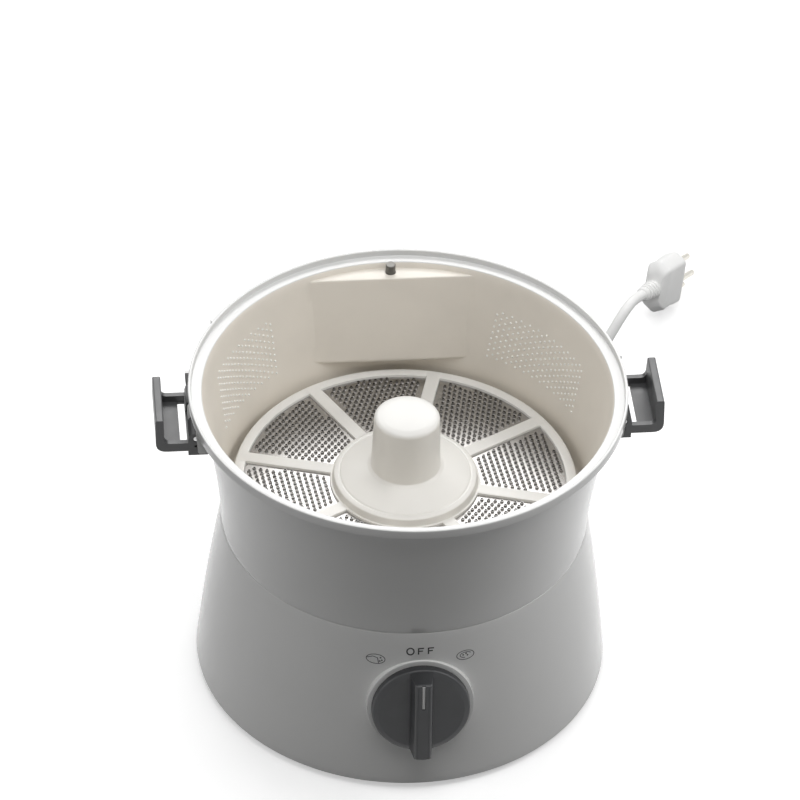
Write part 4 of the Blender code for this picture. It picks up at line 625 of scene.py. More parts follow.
# Colour; shade; roughness and its change; scale of the lines along each axis; strength of the relief
METALS = {
    "stainless_steel": ((0.68, 0.68, 0.67), (0.58, 0.58, 0.57), 0.22, 0.15, (40, 900, 900), 0.2),
    # The pin's steel is far darker than stainless steel: painted shade.
    "interlock_pin_steel": ((0.17, 0.165, 0.155), (0.12, 0.118, 0.11), 0.42, 0.2, (40, 900, 900), 0.3),
    # The plates' steel is darker than stainless steel, standing for the dark surroundings that they reflect: a
    # painted dark reflection.
    "grater_plate_steel": ((0.44, 0.43, 0.42), (0.30, 0.29, 0.28), 0.26, 0.2, (500, 500, 500), 0.3),
    "nickel_plated_brass": ((0.70, 0.68, 0.63), (0.60, 0.58, 0.52), 0.28, 0.15, (900, 900, 60), 0.2),
    "enamelled_copper": ((0.70, 0.32, 0.16), (0.42, 0.16, 0.07), 0.35, 0.2, (80, 80, 2400), 0.9),
    "stacked_iron_sheets": ((0.34, 0.34, 0.35), (0.16, 0.16, 0.17), 0.5, 0.2, (30, 30, 3000), 0.9),
}
LATCH_SPECULAR = 0.55


def finish(name):
    """The material of this name, made when it's first asked for."""
    found = bpy.data.materials.get(name)
    if found:
        return found
    if name in METALS:
        colour, shade, roughness, change, lines, strength = METALS[name]
        scales = {"Line Scale": lines}
        return surfaced(name, colour, shade, roughness, change, "Brushed Surface", scales, strength, 0.00004, 1.0)
    colour, shade, roughness, change, patch, grain, strength = PLASTICS[name]
    if isinstance(colour, str):
        colour = getattr(bpy.context.scene.peeler_colours, colour)[:]
        shade = tuple(shade * channel for channel in colour)
    scales = {"Patch Scale": patch, "Grain Scale": grain}
    made = surfaced(name, colour, shade, roughness, change, "Moulded Surface", scales, strength, 0.00005)
    if name == "satin_latch_plastic":
        made.node_tree.nodes["Principled BSDF"].inputs["Specular IOR Level"].default_value = LATCH_SPECULAR
    return made


# Lead and plug

def bend(start, start_way, end, end_way):
    reach = (end - start).length * BEND_SHARE
    corners = (start, start + start_way * reach, end - end_way * reach, end)
    points = []
    for step in range(BEND_STEPS + 1):
        t = step / BEND_STEPS
        weights = ((1 - t) ** 3, 3 * t * (1 - t) ** 2, 3 * t**2 * (1 - t), t**3)
        points.append(sum((corner * weight for corner, weight in zip(corners, weights)), Vector((0, 0, 0))))
    return points


def evenly(fine):
    lengths = [0]
    for first, second in zip(fine, fine[1:]):
        lengths.append(lengths[-1] + (second - first).length)
    count = max(2, round(lengths[-1] / CORD_POINT_SPACING))
    wanted = np.linspace(0, lengths[-1], count + 1)
    axes = [np.interp(wanted, lengths, [point[axis] for point in fine]) for axis in range(3)]
    return [Vector(point) for point in zip(*axes)]


def coil_line():
    """The wound lead: it spirals in on the table, climbs a layer and spirals out on top."""
    count = round(COIL_TURNS * COIL_POINTS)
    points = []
    for index in range(count + 1):
        turn = COIL_TURNS * index / count
        radius = COIL_LAY_RADIUS - COIL_PITCH * min(turn, COIL_TURNS - turn)
        climbed = (turn - COIL_TURNS / 2) / COIL_CLIMB_SHARE + 1 / 2
        share = min(1, max(0, climbed))
        x, y = polar(radius, FULL_TURN * turn)
        points.append(Vector((COIL_X + x, COIL_Y + y, COIL_FLOOR + COIL_PITCH * share**2 * (3 - 2 * share))))
    first_way = (points[0] - points[1]).normalized()
    last_way = (points[-1] - points[-2]).normalized()
    run = 4 * CORD_RADIUS
    return [points[0] + first_way * run] + points + [points[-1] + last_way * run]


def cord_turn():
    return Matrix.Rotation(CORD_ANGLE, 4, "Z") @ Matrix.Rotation(math.pi / 2, 4, "Y")


def gland_place():
    x, y = polar(housing_radius(CORD_HEIGHT), CORD_ANGLE)
    return Vector((x, y, CORD_HEIGHT)), Vector((*polar(1, CORD_ANGLE), 0))


def plug_frame():
    forward = Vector((*polar(math.cos(PLUG_DIP), PLUG_TURN), -math.sin(PLUG_DIP)))
    level = Vector((-math.sin(PLUG_TURN), math.cos(PLUG_TURN), 0))
    row = level * math.cos(PLUG_ROLL) + forward.cross(level) * math.sin(PLUG_ROLL)
    turn = Matrix((row, forward.cross(row), forward)).transposed().to_4x4()
    return Vector((PLUG_X, PLUG_Y, PLUG_HEIGHT)), turn


def lead_route():
    """The whole lead, from the strain relief's tip to the back of the plug."""
    gland, outward = gland_place()
    line = coil_line()
    first_way = (line[1] - line[0]).normalized()
    last_way = (line[-1] - line[-2]).normalized()
    lead_out = gland + outward * (RELIEF_LENGTH + CORD_RADIUS)
    route = [gland + outward * (RELIEF_LENGTH - RELIEF_TAIL)]
    route += evenly(bend(lead_out, outward, line[0], first_way))[:-1] + line
    place, turn = plug_frame()
    forward = turn.to_3x3() @ Vector((0, 0, 1))
    plug_back = place - forward * (PLUG_LENGTH + PLUG_NECK_LENGTH)
    rest = Vector((REST_X, REST_Y, CORD_LIE))
    rest_way = Vector((*polar(1, REST_TURN), 0))
    tail_out = line[-1] + last_way * CORD_RADIUS
    plug_in = plug_back - forward * (2 * CORD_RADIUS)
    tail = bend(tail_out, last_way, rest, rest_way) + bend(rest, rest_way, plug_in, forward)[1:]
    return route + evenly(tail) + [plug_back]


# Lead pieces

def make_lead():
    route = lead_route()
    curve = bpy.data.curves.new("mains_lead", "CURVE")
    curve.dimensions = "3D"
    curve.bevel_depth = CORD_RADIUS
    curve.bevel_resolution = 4
    curve.resolution_u = 4
    curve.use_fill_caps = True
    line = curve.splines.new("BEZIER")
    line.bezier_points.add(len(route) - 1)
    for point, place in zip(line.bezier_points, route):
        point.co = place
        point.handle_left_type = point.handle_right_type = "AUTO"
    lead = bpy.data.objects.new("mains_lead", curve)
    bpy.context.scene.collection.objects.link(lead)
    curve.materials.append(finish("soft_white_cord"))
    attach(lead, "base")
    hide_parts("cord_lead", "cord_coil", "cord_tail")
    return lead, route


def make_relief():
    """The ribbed sleeve on the lead where it leaves the housing."""
    bore, root, tip = CORD_RADIUS + 0.0001, RELIEF_ROOT, RELIEF_TIP
    outline = [(bore, RELIEF_LENGTH, 0.0003), (tip, RELIEF_LENGTH, 0.0008)]
    pitch = (RELIEF_LENGTH - RELIEF_RIBS_START - 0.002) / RELIEF_RIBS
    for rib in range(RELIEF_RIBS, 0, -1):
        place = RELIEF_RIBS_START + pitch * rib
        radius = root + (tip - root) * (place - RELIEF_RIBS_START) / (RELIEF_LENGTH - RELIEF_RIBS_START)
        for grown, share in ((0, 0), (-RELIEF_GROOVE, 0.15), (-RELIEF_GROOVE, 0.4), (0.0001, 0.55)):
            outline.append((radius + grown, place - pitch * share, 0.0003))
    outline += [(root, 0.0033, 0.0003), (RELIEF_COLLAR, 0.0033, 0.0006), (RELIEF_COLLAR, 0.0019, 0.0003)]
    outline += [(root, 0.0019, 0), (root, -RELIEF_TAIL, 0.0003), (bore, -RELIEF_TAIL, 0)]
    relief = new_object("strain_relief_sleeve", moved(turned(outline, softness=2), gland_place()[0], cord_turn()))
    return finish_piece(relief, "base", "soft_white_cord", "white_cord", "strain_relief")


def plug_ring(share, depth):
    """One of the six-sided rings that the plug's body is drawn through."""
    wide, thick = PLUG_HALF_WIDTH, PLUG_HALF_THICKNESS
    side = thick / math.tan(PLUG_SIDE_ANGLE)
    corners = [(wide, 0), (wide - side, thick), (side - wide, thick)]
    corners += [(-wide, 0), (side - wide, -thick), (wide - side, -thick)]
    rounded = soften([(share * x, share * y, 0.003 * share) for x, y in corners], 3)
    return [(x, y, -depth) for x, y in rounded]


def loft(sections):
    shape = bmesh.new()
    rings = [[shape.verts.new(point) for point in section] for section in sections]
    for lower, upper in zip(rings, rings[1:]):
        for index in range(len(lower)):
            after = (index + 1) % len(lower)
            shape.faces.new((lower[index], lower[after], upper[after], upper[index]))
    shape.faces.new(rings[0][::-1])
    shape.faces.new(rings[-1])
    return shape


def make_plug():
    place, turn = plug_frame()
    body = new_object("plug_moulding", moved(loft([plug_ring(*ring) for ring in PLUG_RINGS]), place, turn))
    back = PLUG_LENGTH + PLUG_NECK_LENGTH
    neck = [(0, -back, 0), (CORD_RADIUS + 0.0005, -back, 0.0005)]
    for rib in range(NECK_RIBS):
        low = -back + 0.0012 + NECK_RIB_PITCH * rib
        radius = 0.0045 + 0.0003 * rib
        root = radius - NECK_RIB_DEPTH
        neck += [(radius, low, 0.0003), (radius, low + 0.0016, 0.0003)]
        neck += [(root, low + 0.0018, 0.0002), (root, low + 0.0026, 0.0002)]
    neck += [(0.0062, -PLUG_SHOULDER, 0), (0, -PLUG_SHOULDER, 0)]
    add(body, moved(turned(neck, softness=2), place, turn))
    pins = []
    for name, x, y in PLUG_PIN_PLACES:
        spot = place + turn.to_3x3() @ Vector((x, y, 0))
        outline = [(0, PLUG_PIN_REACH, 0), (PLUG_PIN_RADIUS, PLUG_PIN_REACH, 0.0012)]
        outline += [(PLUG_PIN_RADIUS, -PLUG_PIN_ROOT, 0.0002), (0, -PLUG_PIN_ROOT, 0)]
        pin = new_object(f"plug_pin_{name}_round", moved(turned(outline), spot, turn))
        pins.append(finish_piece(pin, "base", "nickel_plated_brass", "nickelled_brass", f"plug_pin_{name}"))
        cut(body, moved(drum(0.0022, -0.0053, OVERRUN), spot, turn))
    finish_piece(body, "base", "soft_white_cord", "white_cord", "plug_body")
    return [body] + pins


def tie_loop(near, far, floor, top, grown, corner, half):
    low, high = floor - grown, top + grown
    corners = [(-far - grown, low), (-near + grown, low), (-near + grown, high), (-far - grown, high)]
    return moved(side_slab(soften([(x, z, corner) for x, z in corners]), -half, half), (COIL_X, COIL_Y, 0))


def make_tie():
    """A hook and loop band round the coiled lead."""
    inner_lay = COIL_LAY_RADIUS - COIL_PITCH * COIL_TURNS / 2
    near, far = inner_lay - CORD_RADIUS - SEAT_GAP, COIL_LAY_RADIUS + CORD_RADIUS + SEAT_GAP
    floor, top = COIL_FLOOR - CORD_RADIUS - SEAT_GAP, COIL_FLOOR + COIL_PITCH + CORD_RADIUS + SEAT_GAP
    tie = new_object("cord_band", tie_loop(near, far, floor, top, TIE_THICKNESS, TIE_OUTER_CORNER, TIE_HALF_WIDTH))
    cut(tie, tie_loop(near, far, floor, top, 0, TIE_INNER_CORNER, TIE_HALF_WIDTH * 2))
    bevel(tie, 0.0002)
    return finish_piece(tie, "base", "woven_black_band", "black_plastic", "cord_tie")


# Bowl

def wall_core(trim):
    """A solid of the bowl's outer form, drawn in by trim."""
    rim = bowl_radius(FLANGE_BOTTOM) - trim
    outline = [(0, RIM_HEIGHT + OVERRUN), (rim, RIM_HEIGHT + OVERRUN), (rim, FLANGE_BOTTOM)]
    outline += [(bowl_radius(height) - trim, height) for height in spread(FLANGE_BOTTOM, FLOOR_TOP, 12)[1:]]
    return lathe(outline + [(0, FLOOR_TOP)], FINE_STEPS)


def bowl_outline():
    soft = bpy.context.scene.peeler_sizes.rim_rounding
    outline = [(bowl_radius(height), height, 0) for height in spread(FLANGE_BOTTOM, BOWL_FOOT, 20)]
    outline[0] = (*outline[0][:2], soft)
    outline[-1] = (*outline[-1][:2], soft * 0.6)
    outline += [
        (SEAM_RADIUS - WALL, BOWL_FOOT, 0.0003),
        (SEAM_RADIUS - WALL, FLOOR_BOTTOM, 0),
        (CHIMNEY_BORE, FLOOR_BOTTOM, 0),
        (CHIMNEY_BORE, CHIMNEY_TOP, 0.0008),
        (CHIMNEY_RADIUS, CHIMNEY_TOP, 0.0008),
        (CHIMNEY_RADIUS, FLOOR_TOP, 0.002),
    ]
    edge = bowl_radius(FLOOR_TOP + FLOOR_FILLET) - WALL - FLOOR_FILLET
    fillet = arc((edge, FLOOR_TOP + FLOOR_FILLET), FLOOR_FILLET, -math.pi / 2, 0, 8)
    outline += [(x, z, 0) for x, z in fillet]
    for height in spread(FLOOR_TOP + FLOOR_FILLET, FLANGE_BOTTOM, 20)[1:]:
        outline.append((bowl_radius(height) - WALL, height, 0))
    outline += [
        (RIM_INNER_RADIUS, RIM_HEIGHT, soft),
        (LIP_INNER_RADIUS, RIM_HEIGHT, soft * 0.7),
        (LIP_INNER_RADIUS, LIP_TOP, soft),
        (LIP_RADIUS, LIP_TOP, soft),
        (LIP_RADIUS, FLANGE_BOTTOM, soft * 0.7),
    ]
    return soften(outline, 3)


def baffle_piece():
    half = RIM_INNER_RADIUS / 2
    outline = [
        (LEDGE_DISTANCE, LEDGE_HEIGHT, 0.0012),
        (BAFFLE_WAIST_DISTANCE, BAFFLE_WAIST_HEIGHT, 0.004),
        (BAFFLE_WAIST_DISTANCE + WALL, BAFFLE_WAIST_HEIGHT - WALL, 0.002),
        (bowl_radius(BAFFLE_FOOT_HEIGHT) - WALL, BAFFLE_FOOT_HEIGHT, 0.001),
        (LIP_RADIUS, BAFFLE_FOOT_HEIGHT, 0),
        (LIP_RADIUS, LEDGE_HEIGHT, 0),
    ]
    baffle = new_object("baffle_blank", depth_slab(soften(outline), -half, half))
    combine(baffle, wall_core(WALL / 2), "INTERSECT")
    return baffle


def spine_slab(root, low, high):
    half, back = SPINE_HALF_WIDTH, SPINE_DEPTH
    outline = [(-half, root, 0), (half, root, 0), (half, back, 0.0025), (-half, back, 0.0025)]
    return slab(soften(outline), low, high)


def spine_piece():
    root = SEAM_RADIUS - WALL / 2
    spine = new_object("spine_blank", spine_slab(root, BOWL_FOOT, RIM_HEIGHT - WALL / 2))
    combine(spine, wall_core(WALL / 2), "DIFFERENCE")
    return spine


def shape_of(obj):
    """The mesh of a blank, which is then removed."""
    shape = bmesh.new()
    shape.from_mesh(obj.data)
    bpy.data.objects.remove(obj)
    return shape


def rim_tabs():
    tabs = []
    for angle in TAB_ANGLES:
        near, far = TAB_HALF_ANGLE, TAB_HALF_ANGLE * 0.72
        inner = arc((0, 0), LIP_RADIUS - 0.0009, angle + near, angle - near, 12)
        outer = arc((0, 0), LIP_RADIUS + TAB_DEPTH, angle - far, angle + far, 12)
        corners = [(x, y, 0) for x, y in inner + outer]
        corners[13] = (*corners[13][:2], 0.002)
        corners[-1] = (*corners[-1][:2], 0.002)
        tabs.append(slab(soften(corners), FLANGE_BOTTOM + SEAT_GAP, LIP_TOP - SEAT_GAP))
    return tabs


def latch_mounts():
    pieces = []
    for side in (-1, 1):
        pieces.append(hinge_ear(side))
        pieces += [guard(side, -1, GUARD_REACH_FRONT), guard(side, 1, GUARD_REACH_BACK)]
    return pieces


def hinge_ear(side):
    root = bowl_radius(HINGE_HEIGHT) - WALL / 2
    half = EAR_HALF_WIDTH
    outline = [(EAR_RADIUS, half, 0.0006), (EAR_RADIUS, -half, 0.0006), (0, -half, 0), (0, half, 0)]
    ear = new_object("ear_blank", moved(turned(outline), (side * HINGE_DISTANCE, 0, HINGE_HEIGHT), LYING))
    low, high = HINGE_HEIGHT - EAR_RADIUS, HINGE_HEIGHT + EAR_RADIUS
    add(ear, side_block(side, root, HINGE_DISTANCE, -EAR_ROOT_HALF_WIDTH, EAR_ROOT_HALF_WIDTH, low, high))
    return shape_of(ear)


def guard(side, hand, reach):
    """A fin under the rim at one end of a latch."""
    foot = bowl_radius(HINGE_HEIGHT) - GUARD_DEPTH
    reach *= math.cos(math.asin(GUARD_DISTANCE / LIP_RADIUS))
    top, low = FLANGE_BOTTOM + WALL / 4, FLANGE_BOTTOM - GUARD_DEPTH
    outline = [(foot, top, 0), (reach, top, 0), (reach, FLANGE_BOTTOM - WALL, 0.002)]
    outline += [(reach - GUARD_DRAFT, low, 0.002), (foot, low, 0)]
    middle = hand * GUARD_DISTANCE
    flat = side_slab(
        soften([(side * x, z, radius) for x, z, radius in outline]),
        middle - GUARD_HALF_WIDTH,
        middle + GUARD_HALF_WIDTH,
    )
    fin = new_object("guard_blank", flat)
    combine(fin, wall_core(WALL / 2), "DIFFERENCE")
    return shape_of(fin)


def make_bowl():
    bowl = new_object("bowl_moulding", lathe(bowl_outline(), FINE_STEPS))
    add(bowl, shape_of(baffle_piece()))
    add(bowl, shape_of(spine_piece()))
    add(bowl, together(rim_tabs() + latch_mounts()))
    channel = block(
        (-CHANNEL_HALF_WIDTH, ROD_DISTANCE - CHANNEL_HALF_DEPTH, BOWL_FOOT - OVERRUN),
        (CHANNEL_HALF_WIDTH, ROD_DISTANCE + CHANNEL_HALF_DEPTH - SEAT_GAP, LEDGE_HEIGHT - WALL),
    )
    cut(bowl, channel)
    shelf = block(
        (-CHANNEL_HALF_WIDTH - WALL / 2, ROD_DISTANCE - CHANNEL_HALF_DEPTH, ROD_SHELF_HEIGHT - WALL),
        (CHANNEL_HALF_WIDTH + WALL / 2, SPINE_DEPTH - WALL / 2, ROD_SHELF_HEIGHT),
    )
    add(bowl, shelf)
    shelf_top = ROD_SHELF_HEIGHT + OVERRUN
    holes = [
        moved(drum(ROD_RADIUS + 0.0003, shelf_top, RIM_HEIGHT), (0, ROD_DISTANCE, 0)),
        moved(drum(ROD_STEM_BORE, ROD_SHELF_HOLE_FOOT, shelf_top), (0, ROD_DISTANCE, 0)),
    ]
    for side in (-1, 1):
        hole = drum(PIN_BORE, -LATCH_HALF_WIDTH, LATCH_HALF_WIDTH)
        holes.append(moved(hole, (side * HINGE_DISTANCE, 0, HINGE_HEIGHT), LYING))
    cut(bowl, together(holes))
    finish_piece(bowl, "bowl_unit", "glossy_white_plastic", "white_plastic", "bowl")
    bowl.data.materials.append(finish("bowl_inside_plastic"))
    # Faces on the bowl's inside take that copy: a potato stain tint together with painted light.
    for face in bowl.data.polygons:
        x, y, z = face.center
        inward = face.normal.x * x + face.normal.y * y < -0.0002 * math.hypot(x, y) or face.normal.z > 0.3
        inside = math.hypot(x, y) < bowl_radius(z) - WALL / 3
        if FLOOR_TOP - SOFT_EDGE < z < RIM_HEIGHT - 0.0004 and inward and inside:
            face.material_index = 1


# Motor base

def knob_frame():
    """The knob's own frame: +Z points out of the sloping front, +Y up the slope."""
    slope = housing_radius(KNOB_HEIGHT - KNOB_RADIUS) - housing_radius(KNOB_HEIGHT + KNOB_RADIUS)
    lean = math.atan2(slope, 2 * KNOB_RADIUS)
    return (0, -housing_radius(KNOB_HEIGHT) - PAD_PROUD, KNOB_HEIGHT), Matrix.Rotation(math.pi / 2 - lean, 4, "X")


def housing_outline():
    outer = [(housing_radius(height), height, 0) for height in spread(SEAM_HEIGHT, HOUSING_EDGE_HEIGHT, 24)]
    outer[0] = (*outer[0][:2], SOFT_EDGE)
    outer[-1] = (*outer[-1][:2], SOFT_EDGE)
    inner_heights = spread(HOUSING_EDGE_HEIGHT, SHOULDER_BOTTOM, 12)
    inner = [(housing_radius(height) - WALL, height, 0) for height in inner_heights]
    outline = [
        (COLLAR_RADIUS, COLLAR_TOP_HEIGHT, 0.0005),
        (COLLAR_RADIUS, DECK_TOP, 0.001),
        (STEP_RADIUS, DECK_TOP, 0.0006),
        (STEP_RADIUS, SEAM_HEIGHT, 0),
    ]
    outline += outer + inner
    outline += [
        (STEP_RADIUS - WALL, SHOULDER_BOTTOM, 0),
        (STEP_RADIUS - WALL, DECK_BOTTOM, 0),
        (COLLAR_RADIUS, DECK_BOTTOM, 0),
        (COLLAR_RADIUS, DECK_BOTTOM - COLLAR_DROP, 0),
        (BEARING_BORE, DECK_BOTTOM - COLLAR_DROP, 0),
        (BEARING_BORE, COLLAR_TOP_HEIGHT, 0.0003),
    ]
    return soften(outline, 3)


def make_housing():
    housing = new_object("base_moulding", lathe(housing_outline(), FINE_STEPS))
    root = STEP_RADIUS - WALL / 2
    half, back = SPINE_HALF_WIDTH, SPINE_DEPTH
    add(housing, spine_slab(root, SPINE_FOOT_HEIGHT, SEAM_HEIGHT))
    posts = []
    for index in range(3):
        outline = [(0, POST_ROOT), (SCREW_POST_RADIUS, POST_ROOT), (SCREW_POST_RADIUS, SCREW_POST_FOOT)]
        outline += [(SCREW_BORE, SCREW_POST_FOOT), (SCREW_BORE, SCREW_BORE_TOP), (0, SCREW_BORE_TOP)]
        spot = (*polar(SCREW_POST_CIRCLE, FULL_TURN * index / 3), 0)
        posts.append(moved(lathe(outline, SMALL_STEPS), spot))
    for side in (-1, 1):
        post = drum(BRACKET_POST_RADIUS, BRACKET_POST_FOOT, POST_ROOT)
        posts.append(moved(post, (MOTOR_X + side * BRACKET_POST_SPREAD, MOTOR_Y, 0)))
    add(housing, together(posts))
    place, turn = knob_frame()
    cut(housing, moved(drum(PAD_RADIUS - WALL / 2, -PAD_DEPTH - OVERRUN, OVERRUN, ROUND_STEPS), place, turn))
    outline = [
        (PAD_RADIUS, 0, 0.0006),
        (PAD_RADIUS, -PAD_DEPTH, 0),
        (PAD_RADIUS - WALL, -PAD_DEPTH, 0),
        (PAD_RADIUS - WALL, -WALL, 0),
        (KNOB_SHAFT_BORE, -WALL, 0),
        (KNOB_SHAFT_BORE, 0, 0.0003),
    ]
    add(housing, moved(turned(outline, ROUND_STEPS), place, turn))
    pocket = block(
        (WALL - half, root - WALL, SPINE_FOOT_HEIGHT + WALL), (half - WALL, back - WALL, SHOULDER_BOTTOM)
    )
    cut(housing, pocket)
    shelf_low = (WALL / 2 - half, STEP_RADIUS, PLUNGER_SHELF_BOTTOM)
    add(housing, block(shelf_low, (half - WALL / 2, back - WALL / 2, PLUNGER_SHELF_TOP)))
    holes = [
        moved(drum(PLUNGER_BORE, PLUNGER_BORE_FOOT, SEAM_HEIGHT + OVERRUN), (0, ROD_DISTANCE, 0)),
        moved(drum(GLAND_BORE, -WALL - OVERRUN * 2, OVERRUN), gland_place()[0], cord_turn()),
    ]
    cut(housing, together(holes))
    finish_piece(housing, "base", "glossy_white_plastic", "white_plastic", "base_housing")


def make_feet():
    outline = [
        (0, COVER_TOP + 0.0005, 0),
        (FOOT_STUD_RADIUS, COVER_TOP + 0.0005, 0.0005),
        (FOOT_STUD_RADIUS, FOOT_FLANGE_TOP, 0),
        (FOOT_RADIUS, FOOT_FLANGE_TOP, 0.0006),
        (FOOT_RADIUS - 0.0005, 0, 0.0008),
        (FOOT_RADIUS - 0.003, 0, 0.0004),
        (FOOT_RADIUS - 0.0036, FOOT_HOLLOW, 0.0004),
        (0, FOOT_HOLLOW, 0),
    ]
    for index in range(4):
        spot = (*polar(FOOT_CIRCLE_RADIUS, math.radians(45) + FULL_TURN * index / 4), 0)
        foot = new_object(f"foot_{index + 1}_moulded", moved(turned(outline), spot))
        finish_piece(foot, "base", "black_rubber", "rubber", f"rubber_foot_{index + 1}")


# Knob and print

def make_knob():
    place, turn = knob_frame()
    outline = [
        (0, KNOB_DISC, 0),
        (KNOB_RADIUS - 0.0035, KNOB_DISC, 0.002),
        (KNOB_RADIUS - 0.0002, KNOB_DISC - 0.0012, 0.0014),
        (KNOB_RADIUS, SEAT_GAP, 0.0004),
        (0, SEAT_GAP, 0),
    ]
    knob = new_object("selector_knob", turned(outline, FINE_STEPS))
    foot, tip = GRIP_HALF_WIDTH, GRIP_HALF_WIDTH - GRIP_DRAFT
    section = [
        (-foot - 0.0006, KNOB_DISC - KNOB_ROUND, 0),
        (foot + 0.0006, KNOB_DISC - KNOB_ROUND, 0),
        (foot, KNOB_DISC + GRIP_FOOT, 0.001),
        (tip, KNOB_RISE, 0.0016),
        (-tip, KNOB_RISE, 0.0016),
        (-foot, KNOB_DISC + GRIP_FOOT, 0.001),
    ]
    reach = KNOB_RADIUS - KNOB_ROUND
    grip = new_object("grip_blank", side_slab(soften(section), -reach, reach))
    over = KNOB_RISE + 0.001
    ends = [(0, over, 0), (reach - 0.0005, over, 0.004), (reach + 0.0002, 0, 0), (0, 0, 0)]
    combine(grip, turned(ends, ROUND_STEPS), "INTERSECT")
    bevel(grip, 0.0004)
    add(knob, shape_of(grip))
    cut(knob, drum(0.0033, -OVERRUN, 0.0093))
    half = GROOVE_HALF_WIDTH
    cut(knob, block((-half, reach * 0.35, KNOB_RISE - 0.0006), (half, reach + OVERRUN, KNOB_RISE + OVERRUN)))
    knob.data.transform(Matrix.Translation(place) @ turn)
    finish_piece(knob, "knob", "satin_black_plastic", "black_plastic", "control_knob")
    half = LINE_HALF_WIDTH
    bar = block((-half, reach * 0.36, KNOB_RISE - 0.0012), (half, reach * 0.93, KNOB_RISE - 0.0003))
    line = new_object("knob_pointer_line", moved(bar, place, turn))
    bevel(line, 0.00015, 1)
    finish_piece(line, "knob", "glossy_white_plastic", "white_plastic")


def on_housing(across, up):
    """A point on the housing's front, by its place in the knob's own plane."""
    place, turn = knob_frame()
    flat = Vector(place) + turn.to_3x3() @ Vector((across, up, 0))
    radius = housing_radius(flat.z) + PRINT_LIFT
    return Vector((flat.x, -math.sqrt(radius**2 - flat.x**2), flat.z))


def print_shape(name, strokes, width, centre):
    """Flat printed strokes laid on the housing, each a list of (across, up) points."""
    shape = bmesh.new()
    for stroke in strokes:
        closed = (Vector(stroke[0]) - Vector(stroke[-1])).length < 1e-7
        line = [Vector(point) for point in (stroke[:-1] if closed else stroke)]
        left, right = [], []
        for index, point in enumerate(line):
            before = line[index - 1] if index or closed else point
            after = line[(index + 1) % len(line)] if index < len(line) - 1 or closed else point
            way = (after - before).normalized()
            side = Vector((-way.y, way.x)) * width / 2
            left.append(shape.verts.new(on_housing(*(point + side + Vector(centre)))))
            right.append(shape.verts.new(on_housing(*(point - side + Vector(centre)))))
        count = len(line) if closed else len(line) - 1
        for index in range(count):
            after = (index + 1) % len(line)
            shape.faces.new((left[index], right[index], right[after], left[after]))
    mesh = bpy.data.meshes.new(name)
    shape.to_mesh(mesh)
    shape.free()
    obj = bpy.data.objects.new(name, mesh)
    bpy.context.scene.collection.objects.link(obj)
    for face in mesh.polygons:
        if face.normal.dot(Vector((*face.center.xy, 0))) < 0:
            face.flip()
    mesh.materials.append(finish("printed_black_ink"))
    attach(obj, "base")


def ellipse(wide, high, x=0.0, y=0.0, start=0.0, end=FULL_TURN, steps=28):
    return [(x + wide * math.cos(t), y + high * math.sin(t)) for t in spread(start, end, steps)]


def dot(x, y):
    return ellipse(0.0003, 0.0003, x, y, steps=8)


def fine_line(points, steps=6):
    line = []
    for (x0, y0), (x1, y1) in zip(points, points[1:]):
        line += [(x0 + (x1 - x0) * step / steps, y0 + (y1 - y0) * step / steps) for step in range(steps)]
    return line + [points[-1]]


def make_print():
    """OFF over the knob, with a whole and a part-peeled round tuber of our own drawing."""
    high = LETTER_HALF_HEIGHT
    letters = [ellipse(0.0019, high, -LETTER_PITCH, 0)]
    for x in (-0.0014, 0.0040):
        letters.append(fine_line([(x, -high), (x, high)]))
        letters.append(fine_line([(x, high - 0.0003), (x + 0.0030, high - 0.0003)]))
        letters.append(fine_line([(x, 0.0001), (x + 0.0024, 0.0001)]))
    print_shape("off_mark", letters, LETTER_LINE, (0, LETTERS_UP))
    outline = [ellipse(MARK_WIDTH, MARK_HEIGHT)]
    peel = [fine_line([(-0.0046, 0.0005), (-0.0015, 0.0016), (0.0010, 0.0008), (0.0016, -0.0030)])]
    eyes = [dot(x, y) for x, y in ((0.0026, 0.0010), (0.0033, -0.0006), (0.0022, -0.0012))]
    across, up = polar(MARK_DISTANCE, math.pi / 2 - MARK_TURN)
    print_shape("peel_mark", outline + peel + eyes, MARK_LINE, (-across, up))
    outline = [ellipse(MARK_WIDTH - 0.0002, MARK_HEIGHT - 0.0001)]
    sweep = [ellipse(0.0031, 0.0017, 0.0002, 0.0001, 0.5, 4.6, 20)]
    dots = [dot(x, y) for x, y in ((-0.0012, 0.0002), (0.0012, -0.0003), (0.0004, 0.0009))]
    print_shape("rinse_mark", outline + sweep + dots, MARK_LINE, (across, up))


# Peeling disc

def sector(inner, outer, half_gap, index, low, high, steps=16):
    start = SEGMENT_START + SEGMENT_PITCH * index

    def edge(radius, backwards):
        lean = math.asin(half_gap / radius)
        ends = (start + lean, start + SEGMENT_PITCH - lean)
        return arc((0, 0), radius, *(ends[::-1] if backwards else ends), steps)

    return slab(edge(inner, True) + edge(outer, False), low, high)


